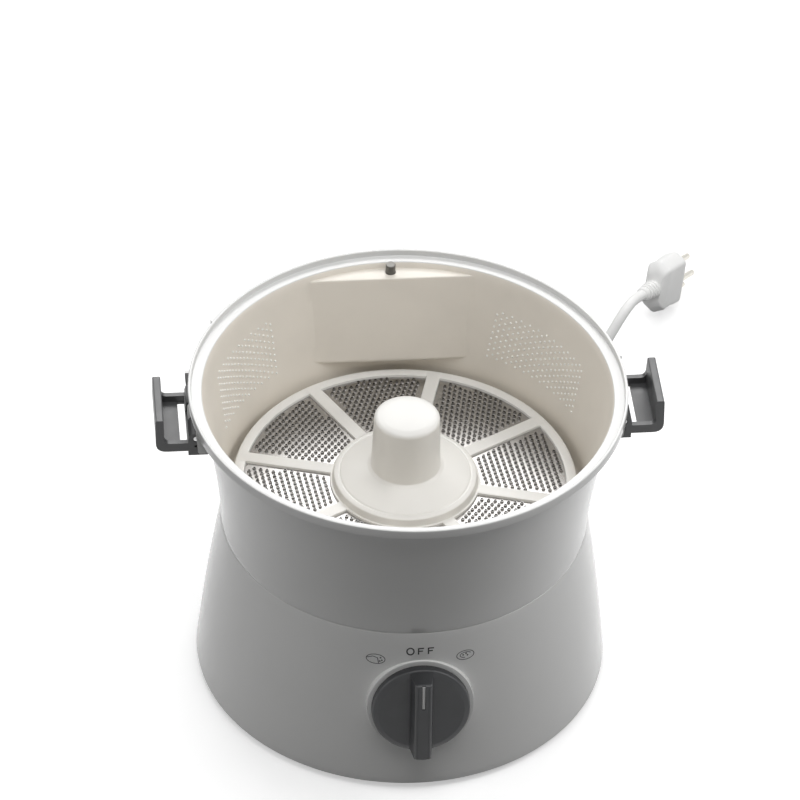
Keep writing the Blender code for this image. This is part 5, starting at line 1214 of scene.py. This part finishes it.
def make_disc():
    outline = [(0, POST_TOP, 0), (0.008, POST_TOP - 0.0001, 0), (0.0135, POST_TOP - 0.0005, 0.004)]
    outline += [
        (POST_RADIUS, POST_TOP - 0.0012, 0.0045),
        (POST_RADIUS + 0.0011, HUB_TOP + 0.0009, 0.0012),
        (POST_RADIUS + 0.0030, HUB_TOP - 0.0004, 0.0012),
        (HUB_RADIUS - 0.0042, HUB_EDGE + 0.0009, 0.0006),
        (HUB_RADIUS - 0.0034, HUB_EDGE + 0.0002, 0.0004),
        (HUB_RADIUS - 0.0026, HUB_EDGE + 0.0005, 0.0004),
        (HUB_RADIUS - 0.0002, HUB_EDGE - 0.0002, 0.0012),
        (HUB_RADIUS + 0.0007, DISC_TOP, 0.0005),
        (DISC_RADIUS - 0.0001, DISC_TOP, 0.0014),
        (DISC_RADIUS, DISC_SKIRT, 0.0005),
        (DISC_RADIUS - WALL, DISC_SKIRT, 0.0005),
        (DISC_RADIUS - WALL, DISC_WEB_BOTTOM, 0),
        (HUB_RADIUS - HUB_WALL, DISC_WEB_BOTTOM, 0.001),
        (HUB_RADIUS - HUB_WALL - 0.0014, HUB_EDGE - HUB_WALL, 0.001),
        (CAVITY_RADIUS, HUB_TOP - HUB_WALL, 0.001),
        (CAVITY_RADIUS, CAVITY_TOP, 0.001),
        (0, CAVITY_TOP, 0),
    ]
    disc = new_object("disc_moulding", turned(outline, FINE_STEPS))
    half = SPOKE_WIDTH / 2
    pockets, windows = [], []
    for index in range(SEGMENT_COUNT):
        pockets.append(sector(POCKET_INNER, POCKET_OUTER, half, index, POCKET_FLOOR, DISC_TOP + OVERRUN))
        inner, outer, gap = POCKET_INNER + WINDOW_MARGIN, POCKET_OUTER - WINDOW_MARGIN, half + WINDOW_MARGIN
        windows.append(sector(inner, outer, gap, index, DISC_WEB_BOTTOM - OVERRUN, POCKET_FLOOR + OVERRUN / 2))
    cut(disc, together(pockets))
    cut(disc, together(windows))
    bevel(disc, 0.0003, 2, math.radians(50))
    finish_piece(disc, "disc", "disc_plastic_satin", "disc_plastic", "peeling_disc")


# Node groups for repeated forms

class Graph:
    """A geometry node tree, put together line by line."""

    def __init__(self, name, *inputs):
        self.tree = bpy.data.node_groups.new(name, "GeometryNodeTree")
        self.names = {}
        self.tree.interface.new_socket("Geometry", in_out="INPUT", socket_type="NodeSocketGeometry")
        for label, kind, default in (*inputs, ("Material", "Material", None)):
            socket = self.tree.interface.new_socket(label, in_out="INPUT", socket_type="NodeSocket" + kind)
            if default is not None:
                socket.default_value = default
            self.names[label] = socket.identifier
        self.tree.interface.new_socket("Geometry", in_out="OUTPUT", socket_type="NodeSocketGeometry")
        self.given = self.tree.nodes.new("NodeGroupInput").outputs
        self.result = self.tree.nodes.new("NodeGroupOutput")

    def node(self, kind, values=None, **settings):
        return node(self.tree, kind, values, **settings)

    def out(self, kind, values=None, **settings):
        return self.node(kind, values, **settings).outputs[0]

    def math(self, operation, first, second=0.0):
        return math_node(self.tree, operation, first, second)

    def grid(self, columns, rows, column_pitch, row_pitch):
        """A grid, each point's distance from its left edge, from its middle line, and its height."""
        wide = self.math("MULTIPLY", self.math("SUBTRACT", columns, 1.0), column_pitch)
        high = self.math("MULTIPLY", self.math("SUBTRACT", rows, 1.0), row_pitch)
        values = {"Size X": wide, "Size Y": high, "Vertices X": columns, "Vertices Y": rows}
        mesh = self.node("GeometryNodeMeshGrid", values).outputs["Mesh"]
        place = self.node("ShaderNodeSeparateXYZ", {0: self.out("GeometryNodeInputPosition")}).outputs
        return mesh, self.math("ADD", place[0], self.math("MULTIPLY", wide, 0.5)), place[1], high

    def stagger(self, along, pitch, step):
        """Half a step for every other row."""
        row = self.math("ROUND", self.math("DIVIDE", along, pitch))
        return self.math("MULTIPLY", self.math("FLOORED_MODULO", row, 2.0), self.math("MULTIPLY", step, 0.5))

    def spot(self, radius, angle, height):
        x = self.math("MULTIPLY", radius, self.math("COSINE", angle))
        y = self.math("MULTIPLY", radius, self.math("SINE", angle))
        return self.out("ShaderNodeCombineXYZ", {0: x, 1: y, 2: height})

    def on_points(self, points, instance):
        placed = self.out("GeometryNodeInstanceOnPoints", {"Points": points, "Instance": instance})
        return self.out("GeometryNodeRealizeInstances", {"Geometry": placed})

    def close(self, geometry):
        done = self.out("GeometryNodeSetMaterial", {"Geometry": geometry, "Material": self.given["Material"]})
        self.tree.links.new(done, self.result.inputs["Geometry"])
        return self


def run_nodes(obj, graph, values):
    """Runs a node tree on a piece and keeps its result as a plain mesh."""
    step = obj.modifiers.new(graph.tree.name, "NODES")
    step.node_group = graph.tree
    for label, value in values.items():
        step[graph.names[label]] = value
    settle(obj)


def nub_graph():
    """Rows of low nubs on the bowl's wall, in columns along the arc, every other one shifted."""
    graph = Graph(
        "Nub Field",
        ("First Angle", "Float", 0.0),
        ("Columns", "Int", 18),
        ("Rows", "Int", 8),
        ("Foot Height", "Float", 0.14),
        ("Column Pitch", "Float", 0.0031),
        ("Row Pitch", "Float", 0.004),
        ("Radius", "Float", 0.0006),
    )
    given, math_op = graph.given, graph.math
    column_pitch, row_pitch = given["Column Pitch"], given["Row Pitch"]
    grid, along, up, high = graph.grid(given["Columns"], given["Rows"], column_pitch, row_pitch)
    shift = graph.stagger(along, column_pitch, row_pitch)
    height = math_op("ADD", math_op("ADD", up, math_op("MULTIPLY", high, 0.5)), shift)
    height = math_op("ADD", height, given["Foot Height"])
    share = math_op("DIVIDE", math_op("SUBTRACT", height, BOWL_FOOT), FLANGE_BOTTOM - BOWL_FOOT)
    flare = math_op("MULTIPLY", math_op("POWER", share, BOWL_FLARE_SHARE), BOWL_TOP_RADIUS - SEAM_RADIUS)
    radius = math_op("ADD", flare, SEAM_RADIUS - WALL + NUB_STAND)
    angle = math_op("ADD", given["First Angle"], math_op("DIVIDE", along, radius))
    spot = graph.spot(radius, angle, height)
    points = graph.out("GeometryNodeSetPosition", {"Geometry": grid, "Position": spot})
    nub = graph.out("GeometryNodeMeshUVSphere", {"Segments": 12, "Rings": 8, "Radius": given["Radius"]})
    return graph.close(graph.on_points(points, nub))


def make_nubs():
    """The two fields of low nubs that turn the load on the bowl's wall."""
    size = bpy.context.scene.peeler_sizes
    graph = nub_graph()
    for name, first, columns, rows, foot in NUB_FIELDS:
        field = new_object(f"nub_field_{name}", bmesh.new())
        values = {
            "First Angle": first,
            "Columns": columns,
            "Rows": rows,
            "Foot Height": foot,
            "Column Pitch": size.nub_pitch_along,
            "Row Pitch": size.nub_pitch_up,
            "Radius": size.nub_radius,
            "Material": finish("bowl_nub_plastic"),
        }
        run_nodes(field, graph, values)
        finish_piece(field, "bowl_unit", "bowl_nub_plastic", "white_plastic")


def burr_graph():
    """A plate with a staggered grid of punched holes, each with its raised, thinned lip."""
    graph = Graph(
        "Punched Plate",
        ("Middle Angle", "Float", 0.0),
        ("Pitch", "Float", 0.0033),
        ("Root Radius", "Float", 0.0012),
        ("Hole Radius", "Float", 0.0007),
        ("Height", "Float", 0.0010),
        ("Inner Radius", "Float", 0.044),
        ("Outer Radius", "Float", 0.0873),
        ("Side Gap", "Float", 0.006),
    )
    given, math_op = graph.given, graph.math
    pitch = given["Pitch"]
    span = math_op("SUBTRACT", given["Outer Radius"], given["Inner Radius"])
    rows = math_op("ADD", math_op("FLOOR", math_op("DIVIDE", span, pitch)), 1.0)
    grid, out, across, _ = graph.grid(rows, TEETH_ACROSS, pitch, pitch)
    x = math_op("ADD", out, given["Inner Radius"])
    y = math_op("ADD", across, graph.stagger(out, pitch, pitch))
    distance = math_op("SQRT", math_op("ADD", math_op("MULTIPLY", x, x), math_op("MULTIPLY", y, y)))
    turn = math_op("ARCTAN2", y, x)
    from_spoke = math_op("SUBTRACT", SEGMENT_PITCH / 2, math_op("ABSOLUTE", turn))
    clear = math_op("MULTIPLY", distance, math_op("SINE", from_spoke))
    crowded = math_op("LESS_THAN", clear, given["Side Gap"])
    outside = math_op("GREATER_THAN", distance, given["Outer Radius"])
    spot = graph.spot(distance, math_op("ADD", turn, given["Middle Angle"]), PLATE_TOP)
    drop = graph.out("FunctionNodeBooleanMath", {0: crowded, 1: outside}, operation="OR")
    points = graph.out("GeometryNodeMeshToPoints", {"Mesh": grid})
    values = {"Geometry": points, "Name": "drop", "Value": drop}
    points = graph.out("GeometryNodeStoreNamedAttribute", values, data_type="BOOLEAN")
    points = graph.out("GeometryNodeSetPosition", {"Geometry": points, "Position": spot})
    dropped = graph.out("GeometryNodeInputNamedAttribute", {"Name": "drop"}, data_type="BOOLEAN")
    points = graph.out("GeometryNodeDeleteGeometry", {"Geometry": points, "Selection": dropped}, domain="POINT")
    values = {
        "Vertices": TOOTH_SIDES,
        "Side Segments": 3,
        "Radius Top": math_op("ADD", given["Hole Radius"], TOOTH_EDGE),
        "Radius Bottom": given["Root Radius"],
        "Depth": math_op("ADD", given["Height"], TOOTH_ROOT),
    }
    cone = graph.node("GeometryNodeMeshCone", values).outputs["Mesh"]
    cone = graph.out("GeometryNodeTransform", {"Geometry": cone, "Translation": (0, 0, -TOOTH_ROOT)})
    values = {"Vertices": TOOTH_SIDES, "Radius": given["Hole Radius"], "Depth": DRILL_DEPTH}
    drill = graph.node("GeometryNodeMeshCylinder", values).outputs["Mesh"]
    raised = graph.node("GeometryNodeMeshBoolean", operation="UNION", solver="EXACT")
    for source in (given["Geometry"], graph.on_points(points, cone)):
        graph.tree.links.new(source, raised.inputs[1])
    punched = graph.node("GeometryNodeMeshBoolean", operation="DIFFERENCE", solver="EXACT")
    graph.tree.links.new(raised.outputs[0], punched.inputs[0])
    graph.tree.links.new(graph.on_points(points, drill), punched.inputs[1])
    return graph.close(punched.outputs[0])


def make_plates():
    """Eight grater plates, each with its field of punched teeth."""
    size = bpy.context.scene.peeler_sizes
    graph = burr_graph()
    half = SPOKE_WIDTH / 2 + SEAT_GAP
    for index in range(SEGMENT_COUNT):
        blank = sector(POCKET_INNER + SEAT_GAP, POCKET_OUTER - SEAT_GAP, half, index, PLATE_LOW, PLATE_TOP)
        plate = new_object(f"punched_plate_{index + 1}", blank)
        values = {
            "Middle Angle": SEGMENT_START + SEGMENT_PITCH * (index + 0.5),
            "Pitch": size.tooth_pitch,
            "Height": size.tooth_height,
            "Material": finish("grater_plate_steel"),
        }
        run_nodes(plate, graph, values)
        finish_piece(plate, "disc", "grater_plate_steel", "stainless_steel", f"grater_plate_{index + 1}")


# Latches

def side_block(side, near, far, y_low, y_high, z_low, z_high):
    reach = sorted((side * near, side * far))
    return block((reach[0], y_low, z_low), (reach[1], y_high, z_high))


def make_latch(side, name):
    """One lever, built round its hinge axis: x runs outwards from the pin and z up."""
    tip = LIP_INNER + LATCH_LIP
    outline = [
        (BAR_INNER, -WEB_DROP, 0.0006),
        (tip, -WEB_DROP, LATCH_CORNER),
        (tip, LATCH_LIP_RISE, 0.0012),
        (LIP_INNER, LATCH_LIP_RISE, 0.0012),
        (LIP_INNER, -RIB_DROP, INNER_CORNER),
        (BAR_INNER, -RIB_DROP, 0.0008),
    ]
    outline = [(side * x, z, radius) for x, z, radius in outline]
    latch = new_object(f"latch_{name}_lever", side_slab(soften(outline, 6), -LATCH_HALF_WIDTH, LATCH_HALF_WIDTH))
    inside = LATCH_HALF_WIDTH - LATCH_RIB
    foot = SEAT_GAP - RIB_DROP
    over = LATCH_LIP_RISE + OVERRUN
    lean = LIP_END_DRAFT * (over - foot) / (LATCH_LIP_RISE - foot)
    for hand in (-1, 1):
        near, far = LATCH_HALF_WIDTH + SEAT_GAP, LATCH_HALF_WIDTH + OVERRUN
        wedge = [(near, foot), (far, foot), (far, over), (near - lean, over)]
        reach = sorted((0, side * (tip + OVERRUN)))
        cut(latch, depth_slab([(hand * y, z) for y, z in wedge], *reach))
    cut(latch, side_block(side, BAR_OUTER, LIP_INNER, -inside, inside, WEB_THICKNESS - WEB_DROP, OVERRUN))
    half = inside - SLOT_MARGIN
    cut(latch, side_block(side, BAR_OUTER, BAR_OUTER + SLOT_WIDTH, -half, half, -WEB_DROP - OVERRUN, OVERRUN))
    half = EAR_HALF_WIDTH + SEAT_GAP
    cut(latch, side_block(side, 0, BAR_OUTER + SLOT_MARGIN, -half, half, -EAR_RADIUS - RUN_GAP, OVERRUN))
    for hand in (-1, 1):
        reach = sorted((hand * (EAR_HALF_WIDTH + SEAT_GAP + SLOT_MARGIN), hand * LATCH_HALF_WIDTH))
        add(latch, moved(drum(KNUCKLE_RADIUS, -reach[1], -reach[0]), turn=LYING))
        add(latch, side_block(side, 0, BAR_OUTER - SEAT_GAP, *reach, -RIB_DROP - WEB_THICKNESS, 0))
        heel_side = hand * (LATCH_HALF_WIDTH - SLOT_MARGIN)
        heel_reach = sorted((heel_side, heel_side - hand * HEEL_WIDTH))
        heel_low = -HEEL_DROP - HEEL_HEIGHT
        add(latch, side_block(side, -HEEL_REACH, BAR_OUTER - SEAT_GAP, *heel_reach, heel_low, -HEEL_DROP))
    cut(latch, moved(drum(PIN_BORE, -LATCH_HALF_WIDTH - OVERRUN, LATCH_HALF_WIDTH + OVERRUN), turn=LYING))
    bevel(latch, LATCH_EDGE, 2, math.radians(45))
    latch.data.transform(Matrix.Translation((side * HINGE_DISTANCE, 0, HINGE_HEIGHT)))
    return finish_piece(latch, f"lever_{name}", "satin_latch_plastic", "black_plastic", f"latch_{name}")


def make_latches():
    make_latch(-1, "left")
    make_latch(1, "right")


# Interlock pin

def make_interlock_pin():
    """The pin that the lid presses, with its collar over the spring and its stem."""
    top = LEDGE_HEIGHT + PIN_RISE
    outline = [
        (0, top, 0),
        (ROD_RADIUS, top, 0.0005),
        (ROD_RADIUS, PIN_COLLAR_TOP, 0),
        (PIN_COLLAR_RADIUS, PIN_COLLAR_TOP, 0.0002),
        (PIN_COLLAR_RADIUS, PIN_COLLAR_TOP - PIN_COLLAR_HEIGHT, 0.0002),
        (PIN_STEM_RADIUS, PIN_COLLAR_TOP - PIN_COLLAR_HEIGHT, 0),
        (PIN_STEM_RADIUS, PIN_FOOT, 0.0004),
        (0, PIN_FOOT, 0),
    ]
    pin = new_object("interlock_pin", moved(turned(outline), (0, ROD_DISTANCE, 0)))
    return finish_piece(pin, "rod", "interlock_pin_steel", "stainless_steel", "interlock_rod")


# Finishes of the parts that keep their solid

INNER_FINISHES = {
    "glossy_white_plastic": ("bottom_cover",),
    "satin_black_plastic": ("rotary_switch", "safety_switch"),
    "black_rubber": ("spindle_seal", "drive_belt"),
    "nickel_plated_brass": ("bearing_upper", "bearing_lower"),
    "stacked_iron_sheets": ("motor_stator", "rotor_core"),
    "enamelled_copper": ("field_coil_left", "field_coil_right", "commutator"),
    "natural_nylon": (
        "brush_holder_front", "brush_holder_back", "driven_pulley", "cooling_fan", "motor_pulley",
        "switch_plunger", "drive_socket",
    ),
    "stainless_steel": (
        "cover_screw_1", "cover_screw_2", "cover_screw_3", "motor_bracket_lower", "motor_bracket_upper",
        "spindle_shaft", "drive_head", "rotor_shaft", "knob_shaft", "rod_spring", "plunger_spring",
        "latch_pin_left", "latch_pin_right",
    ),
}


def finish_inner_parts():
    for name, nodes in INNER_FINISHES.items():
        for obj in (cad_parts[key] for key in nodes):
            slots = obj.material_slots
            for slot in slots:
                slot.material = finish(name)
            if not slots:
                obj.data.materials.append(finish(name))


# Stage

def lamp(name, place, size, energy, target=(0, 0, 0.12)):
    light = bpy.data.lights.new(name, "AREA")
    light.shape = "RECTANGLE"
    light.size, light.size_y = size
    light.energy = energy
    obj = bpy.data.objects.new(name, light)
    obj.location = place
    obj.rotation_euler = (Vector(target) - Vector(place)).to_track_quat("-Z", "Y").to_euler()
    bpy.context.scene.collection.objects.link(obj)
    return obj


def seen_directly(tree):
    """1 where the camera, a reflection or clear material looks straight at the surface."""
    path = node(tree, "ShaderNodeLightPath")
    both = math_node(tree, "MAXIMUM", path.outputs["Is Camera Ray"], path.outputs["Is Glossy Ray"])
    return math_node(tree, "MAXIMUM", both, path.outputs["Is Transmission Ray"])


def make_world():
    stage = bpy.context.scene.peeler_stage
    world = bpy.data.worlds.new("studio")
    bpy.context.scene.world = world
    world.use_nodes = True
    tree = world.node_tree
    tree.nodes.clear()
    lit = node(tree, "ShaderNodeBackground", {"Color": (1, 1, 1, 1), "Strength": stage.room_light})
    shown = node(tree, "ShaderNodeBackground", {"Color": (1, 1, 1, 1), "Strength": 1.0})
    mixed = node(tree, "ShaderNodeMixShader", {0: seen_directly(tree), 1: lit.outputs[0], 2: shown.outputs[0]})
    result = tree.nodes.new("ShaderNodeOutputWorld")
    tree.links.new(mixed.outputs[0], result.inputs["Surface"])


def floor_material():
    made, tree, surface = shader("pale_floor", FLOOR_PALE, 0.6)
    lift = bpy.context.scene.peeler_stage.floor_lift
    clouds = noise(tree, node(tree, "ShaderNodeTexCoord").outputs["Object"], 3.0, 3.0)
    tone = mixed_tone(tree, clouds, (*FLOOR_PALE, 1), (*FLOOR_PALEST, 1))
    seen = seen_directly(tree)
    tree.links.new(mixed_tone(tree, seen, (*FLOOR_BOUNCE, 1), tone), surface.inputs["Base Color"])
    surface.inputs["Emission Color"].default_value = (1, 1, 1, 1)
    tree.links.new(math_node(tree, "MULTIPLY", seen, lift), surface.inputs["Emission Strength"])
    surface.inputs["Specular IOR Level"].default_value = 0.1
    return made


def make_stage():
    scene = bpy.context.scene
    stage = scene.peeler_stage
    scene.view_settings.view_transform = "Standard"
    make_world()
    floor_mesh = bmesh.new()
    bmesh.ops.create_circle(floor_mesh, cap_ends=True, radius=FLOOR_REACH, segments=ROUND_STEPS)
    floor = new_object("studio_floor", floor_mesh)
    floor.data.materials.append(floor_material())
    lamp("top_light", (0, -0.35, 1.75), (1.2, 1.2), stage.top_light)
    lamp("back_light", (0.1, 1.7, 1.6), (1.8, 0.9), stage.back_light)
    lamp("left_light", (-1.6, 0.1, 0.9), (1.0, 1.0), stage.side_light)
    lamp("right_light", (1.6, 0.2, 0.9), (1.0, 1.0), stage.side_light)
    lamp("lead_light", (0.6, -0.1, 0.7), (0.4, 0.4), stage.lead_light, (0.18, 0.28, 0.02))
    lamp("front_light", (0.1, -2.2, 1.3), (1.2, 0.8), stage.front_light, (0, 0, 0.1))


def make_camera():
    scene = bpy.context.scene
    camera = bpy.data.cameras.new("photo_camera")
    camera.lens = CAMERA_LENS
    camera.sensor_width = CAMERA_SENSOR
    camera.sensor_fit = "HORIZONTAL"
    camera.clip_end = 100
    obj = bpy.data.objects.new("photo_camera", camera)
    forward = Vector(CAMERA_FORWARD).normalized()
    up = (Vector(CAMERA_UP) - forward * forward.dot(Vector(CAMERA_UP))).normalized()
    right = forward.cross(up)
    turn = Matrix((right, up, -forward)).transposed().to_4x4()
    obj.matrix_world = Matrix.Translation(CAMERA_PLACE) @ turn
    scene.collection.objects.link(obj)
    scene.camera = obj


# Sizes and colours that a user may change

def length_property(name, description, default):
    return bpy.props.FloatProperty(name=name, description=description, default=default, unit="LENGTH")


def level_property(name, description, default, unit="POWER"):
    return bpy.props.FloatProperty(name=name, description=description, default=default, unit=unit)


def tone_property(name, description, colour):
    return bpy.props.FloatVectorProperty(
        name=name, description=description, default=colour, size=3, min=0, max=1, subtype="COLOR"
    )


class PeelerSizes(bpy.types.PropertyGroup):
    """Sizes of the finer forms."""

    rim_rounding: length_property("Rim rounding", "Rounding of the bowl's moulded edges", 0.0006)
    nub_radius: length_property("Nub radius", "Radius of a nub on the bowl's wall", 0.0007)
    nub_pitch_along: length_property("Nub pitch along", "Distance between columns of nubs", 0.0031)
    nub_pitch_up: length_property("Nub pitch up", "Distance between nubs in a column", 0.0040)
    tooth_pitch: length_property("Tooth pitch", "Distance between punched teeth on a plate", 0.0033)
    tooth_height: length_property("Tooth height", "Height of a tooth over its plate", 0.0011)


class PeelerColours(bpy.types.PropertyGroup):
    """Base colours of the finishes."""

    white: tone_property("White", "Glossy moulding of the bowl and the base", (0.76, 0.76, 0.75))
    # Warm tint for potato staining, lifted above the white as painted light on the inside.
    inside: tone_property("Inside", "Satin inside of the bowl", (0.86, 0.81, 0.73))
    # Painted highlight: the nubs are coloured lighter than the wall around them to show their lit tips.
    nubs: tone_property("Nubs", "Tips of the nubs, which catch the light", (0.95, 0.94, 0.91))
    disc: tone_property("Disc", "Satin moulding of the peeling disc", (0.80, 0.79, 0.76))
    black: tone_property("Black", "Knob and switches", (0.024, 0.025, 0.027))
    # Dark grey, lighter than the knob's black, as painted sheen on the latches' lit tops.
    latch: tone_property("Latches", "Satin moulding of the two latches", (0.075, 0.076, 0.078))
    cord: tone_property("Cord", "Lead, sleeve and plug", (0.93, 0.93, 0.92))


class PeelerStage(bpy.types.PropertyGroup):
    """Levels of the stage's lights."""

    room_light: level_property("Room light", "Strength of the room's light", 0.10, "NONE")
    top_light: level_property("Top light", "Large lamp over the part", 11.5)
    back_light: level_property("Back light", "Large lamp behind the part", 23)
    side_light: level_property("Side lights", "Lamps to the left and right", 6)
    front_light: level_property("Front light", "Weak lamp in front", 0.2)
    lead_light: level_property("Lead light", "Small lamp on the lead and the plug", 1.6)
    floor_lift: level_property("Floor lift", "How much the camera sees the floor brightened", 0.45, "NONE")


# Operators

class Maker:
    """What the operators share: each runs its makers in turn."""

    makers = ()

    def execute(self, context):
        for make in self.makers:
            make()
        return {"FINISHED"}


class PEELER_OT_camera(Maker, bpy.types.Operator):
    """Place the camera at the photograph's angle"""

    bl_idname = "peeler.camera"
    bl_label = "Camera"
    makers = (make_camera,)


class PEELER_OT_mains_lead(bpy.types.Operator):
    bl_idname = "peeler.mains_lead"
    bl_label = "Mains lead"

    def execute(self, context):
        lead, route = make_lead()
        make_relief()
        make_plug() + [make_tie()]
        return {"FINISHED"}


class PEELER_OT_bowl(Maker, bpy.types.Operator):
    """Make the bowl with its baffle, spine, rim tabs and latch mounts"""

    bl_idname = "peeler.bowl"
    bl_label = "Bowl"
    makers = (make_bowl,)


class PEELER_OT_nubs(Maker, bpy.types.Operator):
    """Set the two fields of nubs on the bowl's wall"""

    bl_idname = "peeler.nubs"
    bl_label = "Nub fields"
    makers = (make_nubs,)


class PEELER_OT_base(Maker, bpy.types.Operator):
    """Make the motor base's housing and its feet"""

    bl_idname = "peeler.base"
    bl_label = "Motor base"
    makers = (make_housing, make_feet)


class PEELER_OT_knob(Maker, bpy.types.Operator):
    """Make the selector knob and the marks printed round it"""

    bl_idname = "peeler.knob"
    bl_label = "Knob and marks"
    makers = (make_knob, make_print)


class PEELER_OT_disc(Maker, bpy.types.Operator):
    """Make the peeling disc's moulding"""

    bl_idname = "peeler.disc"
    bl_label = "Peeling disc"
    makers = (make_disc,)


class PEELER_OT_plates(Maker, bpy.types.Operator):
    """Punch the eight grater plates"""

    bl_idname = "peeler.plates"
    bl_label = "Grater plates"
    makers = (make_plates,)


class PEELER_OT_latches(Maker, bpy.types.Operator):
    """Make the two latch levers"""

    bl_idname = "peeler.latches"
    bl_label = "Latches"
    makers = (make_latches,)


class PEELER_OT_interlock_pin(Maker, bpy.types.Operator):
    """Make the pin that the lid presses"""

    bl_idname = "peeler.interlock_pin"
    bl_label = "Interlock pin"
    makers = (make_interlock_pin,)


class PEELER_OT_inner_finishes(Maker, bpy.types.Operator):
    """Give the drive, the switches and the other inner parts their finishes"""

    bl_idname = "peeler.inner_finishes"
    bl_label = "Inner finishes"
    makers = (finish_inner_parts,)


class PEELER_OT_stage(Maker, bpy.types.Operator):
    """Set the floor, the world and the lamps"""

    bl_idname = "peeler.stage"
    bl_label = "Stage"
    makers = (make_stage,)


class PEELER_PT_panel(bpy.types.Panel):
    """Lists the peeler's operators and sizes"""

    bl_idname = "PEELER_PT_panel"
    bl_label = "Electric Potato Peeler"
    bl_space_type = "VIEW_3D"
    bl_region_type = "UI"
    bl_category = "Peeler"

    def draw(self, context):
        column = self.layout.column(align=True)
        for operator in OPERATORS:
            column.operator(operator.bl_idname)
        for group in (context.scene.peeler_sizes, context.scene.peeler_colours, context.scene.peeler_stage):
            box = self.layout.box()
            for key in group.__annotations__:
                box.prop(group, key)


OPERATORS = (
    PEELER_OT_camera,
    PEELER_OT_mains_lead,
    PEELER_OT_stage,
    PEELER_OT_bowl,
    PEELER_OT_nubs,
    PEELER_OT_base,
    PEELER_OT_knob,
    PEELER_OT_disc,
    PEELER_OT_plates,
    PEELER_OT_latches,
    PEELER_OT_interlock_pin,
    PEELER_OT_inner_finishes,
)
GROUPS = (("peeler_sizes", PeelerSizes), ("peeler_colours", PeelerColours), ("peeler_stage", PeelerStage))


def register():
    for name, group in GROUPS:
        bpy.utils.register_class(group)
        setattr(bpy.types.Scene, name, bpy.props.PointerProperty(type=group))
    for operator in OPERATORS:
        bpy.utils.register_class(operator)
    bpy.utils.register_class(PEELER_PT_panel)


def unregister():
    bpy.utils.unregister_class(PEELER_PT_panel)
    for operator in reversed(OPERATORS):
        bpy.utils.unregister_class(operator)
    for name, group in reversed(GROUPS):
        delattr(bpy.types.Scene, name)
        bpy.utils.unregister_class(group)


def main():
    register()
    bpy.ops.peeler.camera()
    bpy.ops.peeler.mains_lead()
    bpy.ops.peeler.stage()
    bpy.ops.peeler.bowl()
    bpy.ops.peeler.nubs()
    bpy.ops.peeler.base()
    bpy.ops.peeler.knob()
    bpy.ops.peeler.disc()
    bpy.ops.peeler.plates()
    bpy.ops.peeler.latches()
    bpy.ops.peeler.interlock_pin()
    bpy.ops.peeler.inner_finishes()


if __name__ == "__main__":
    main()
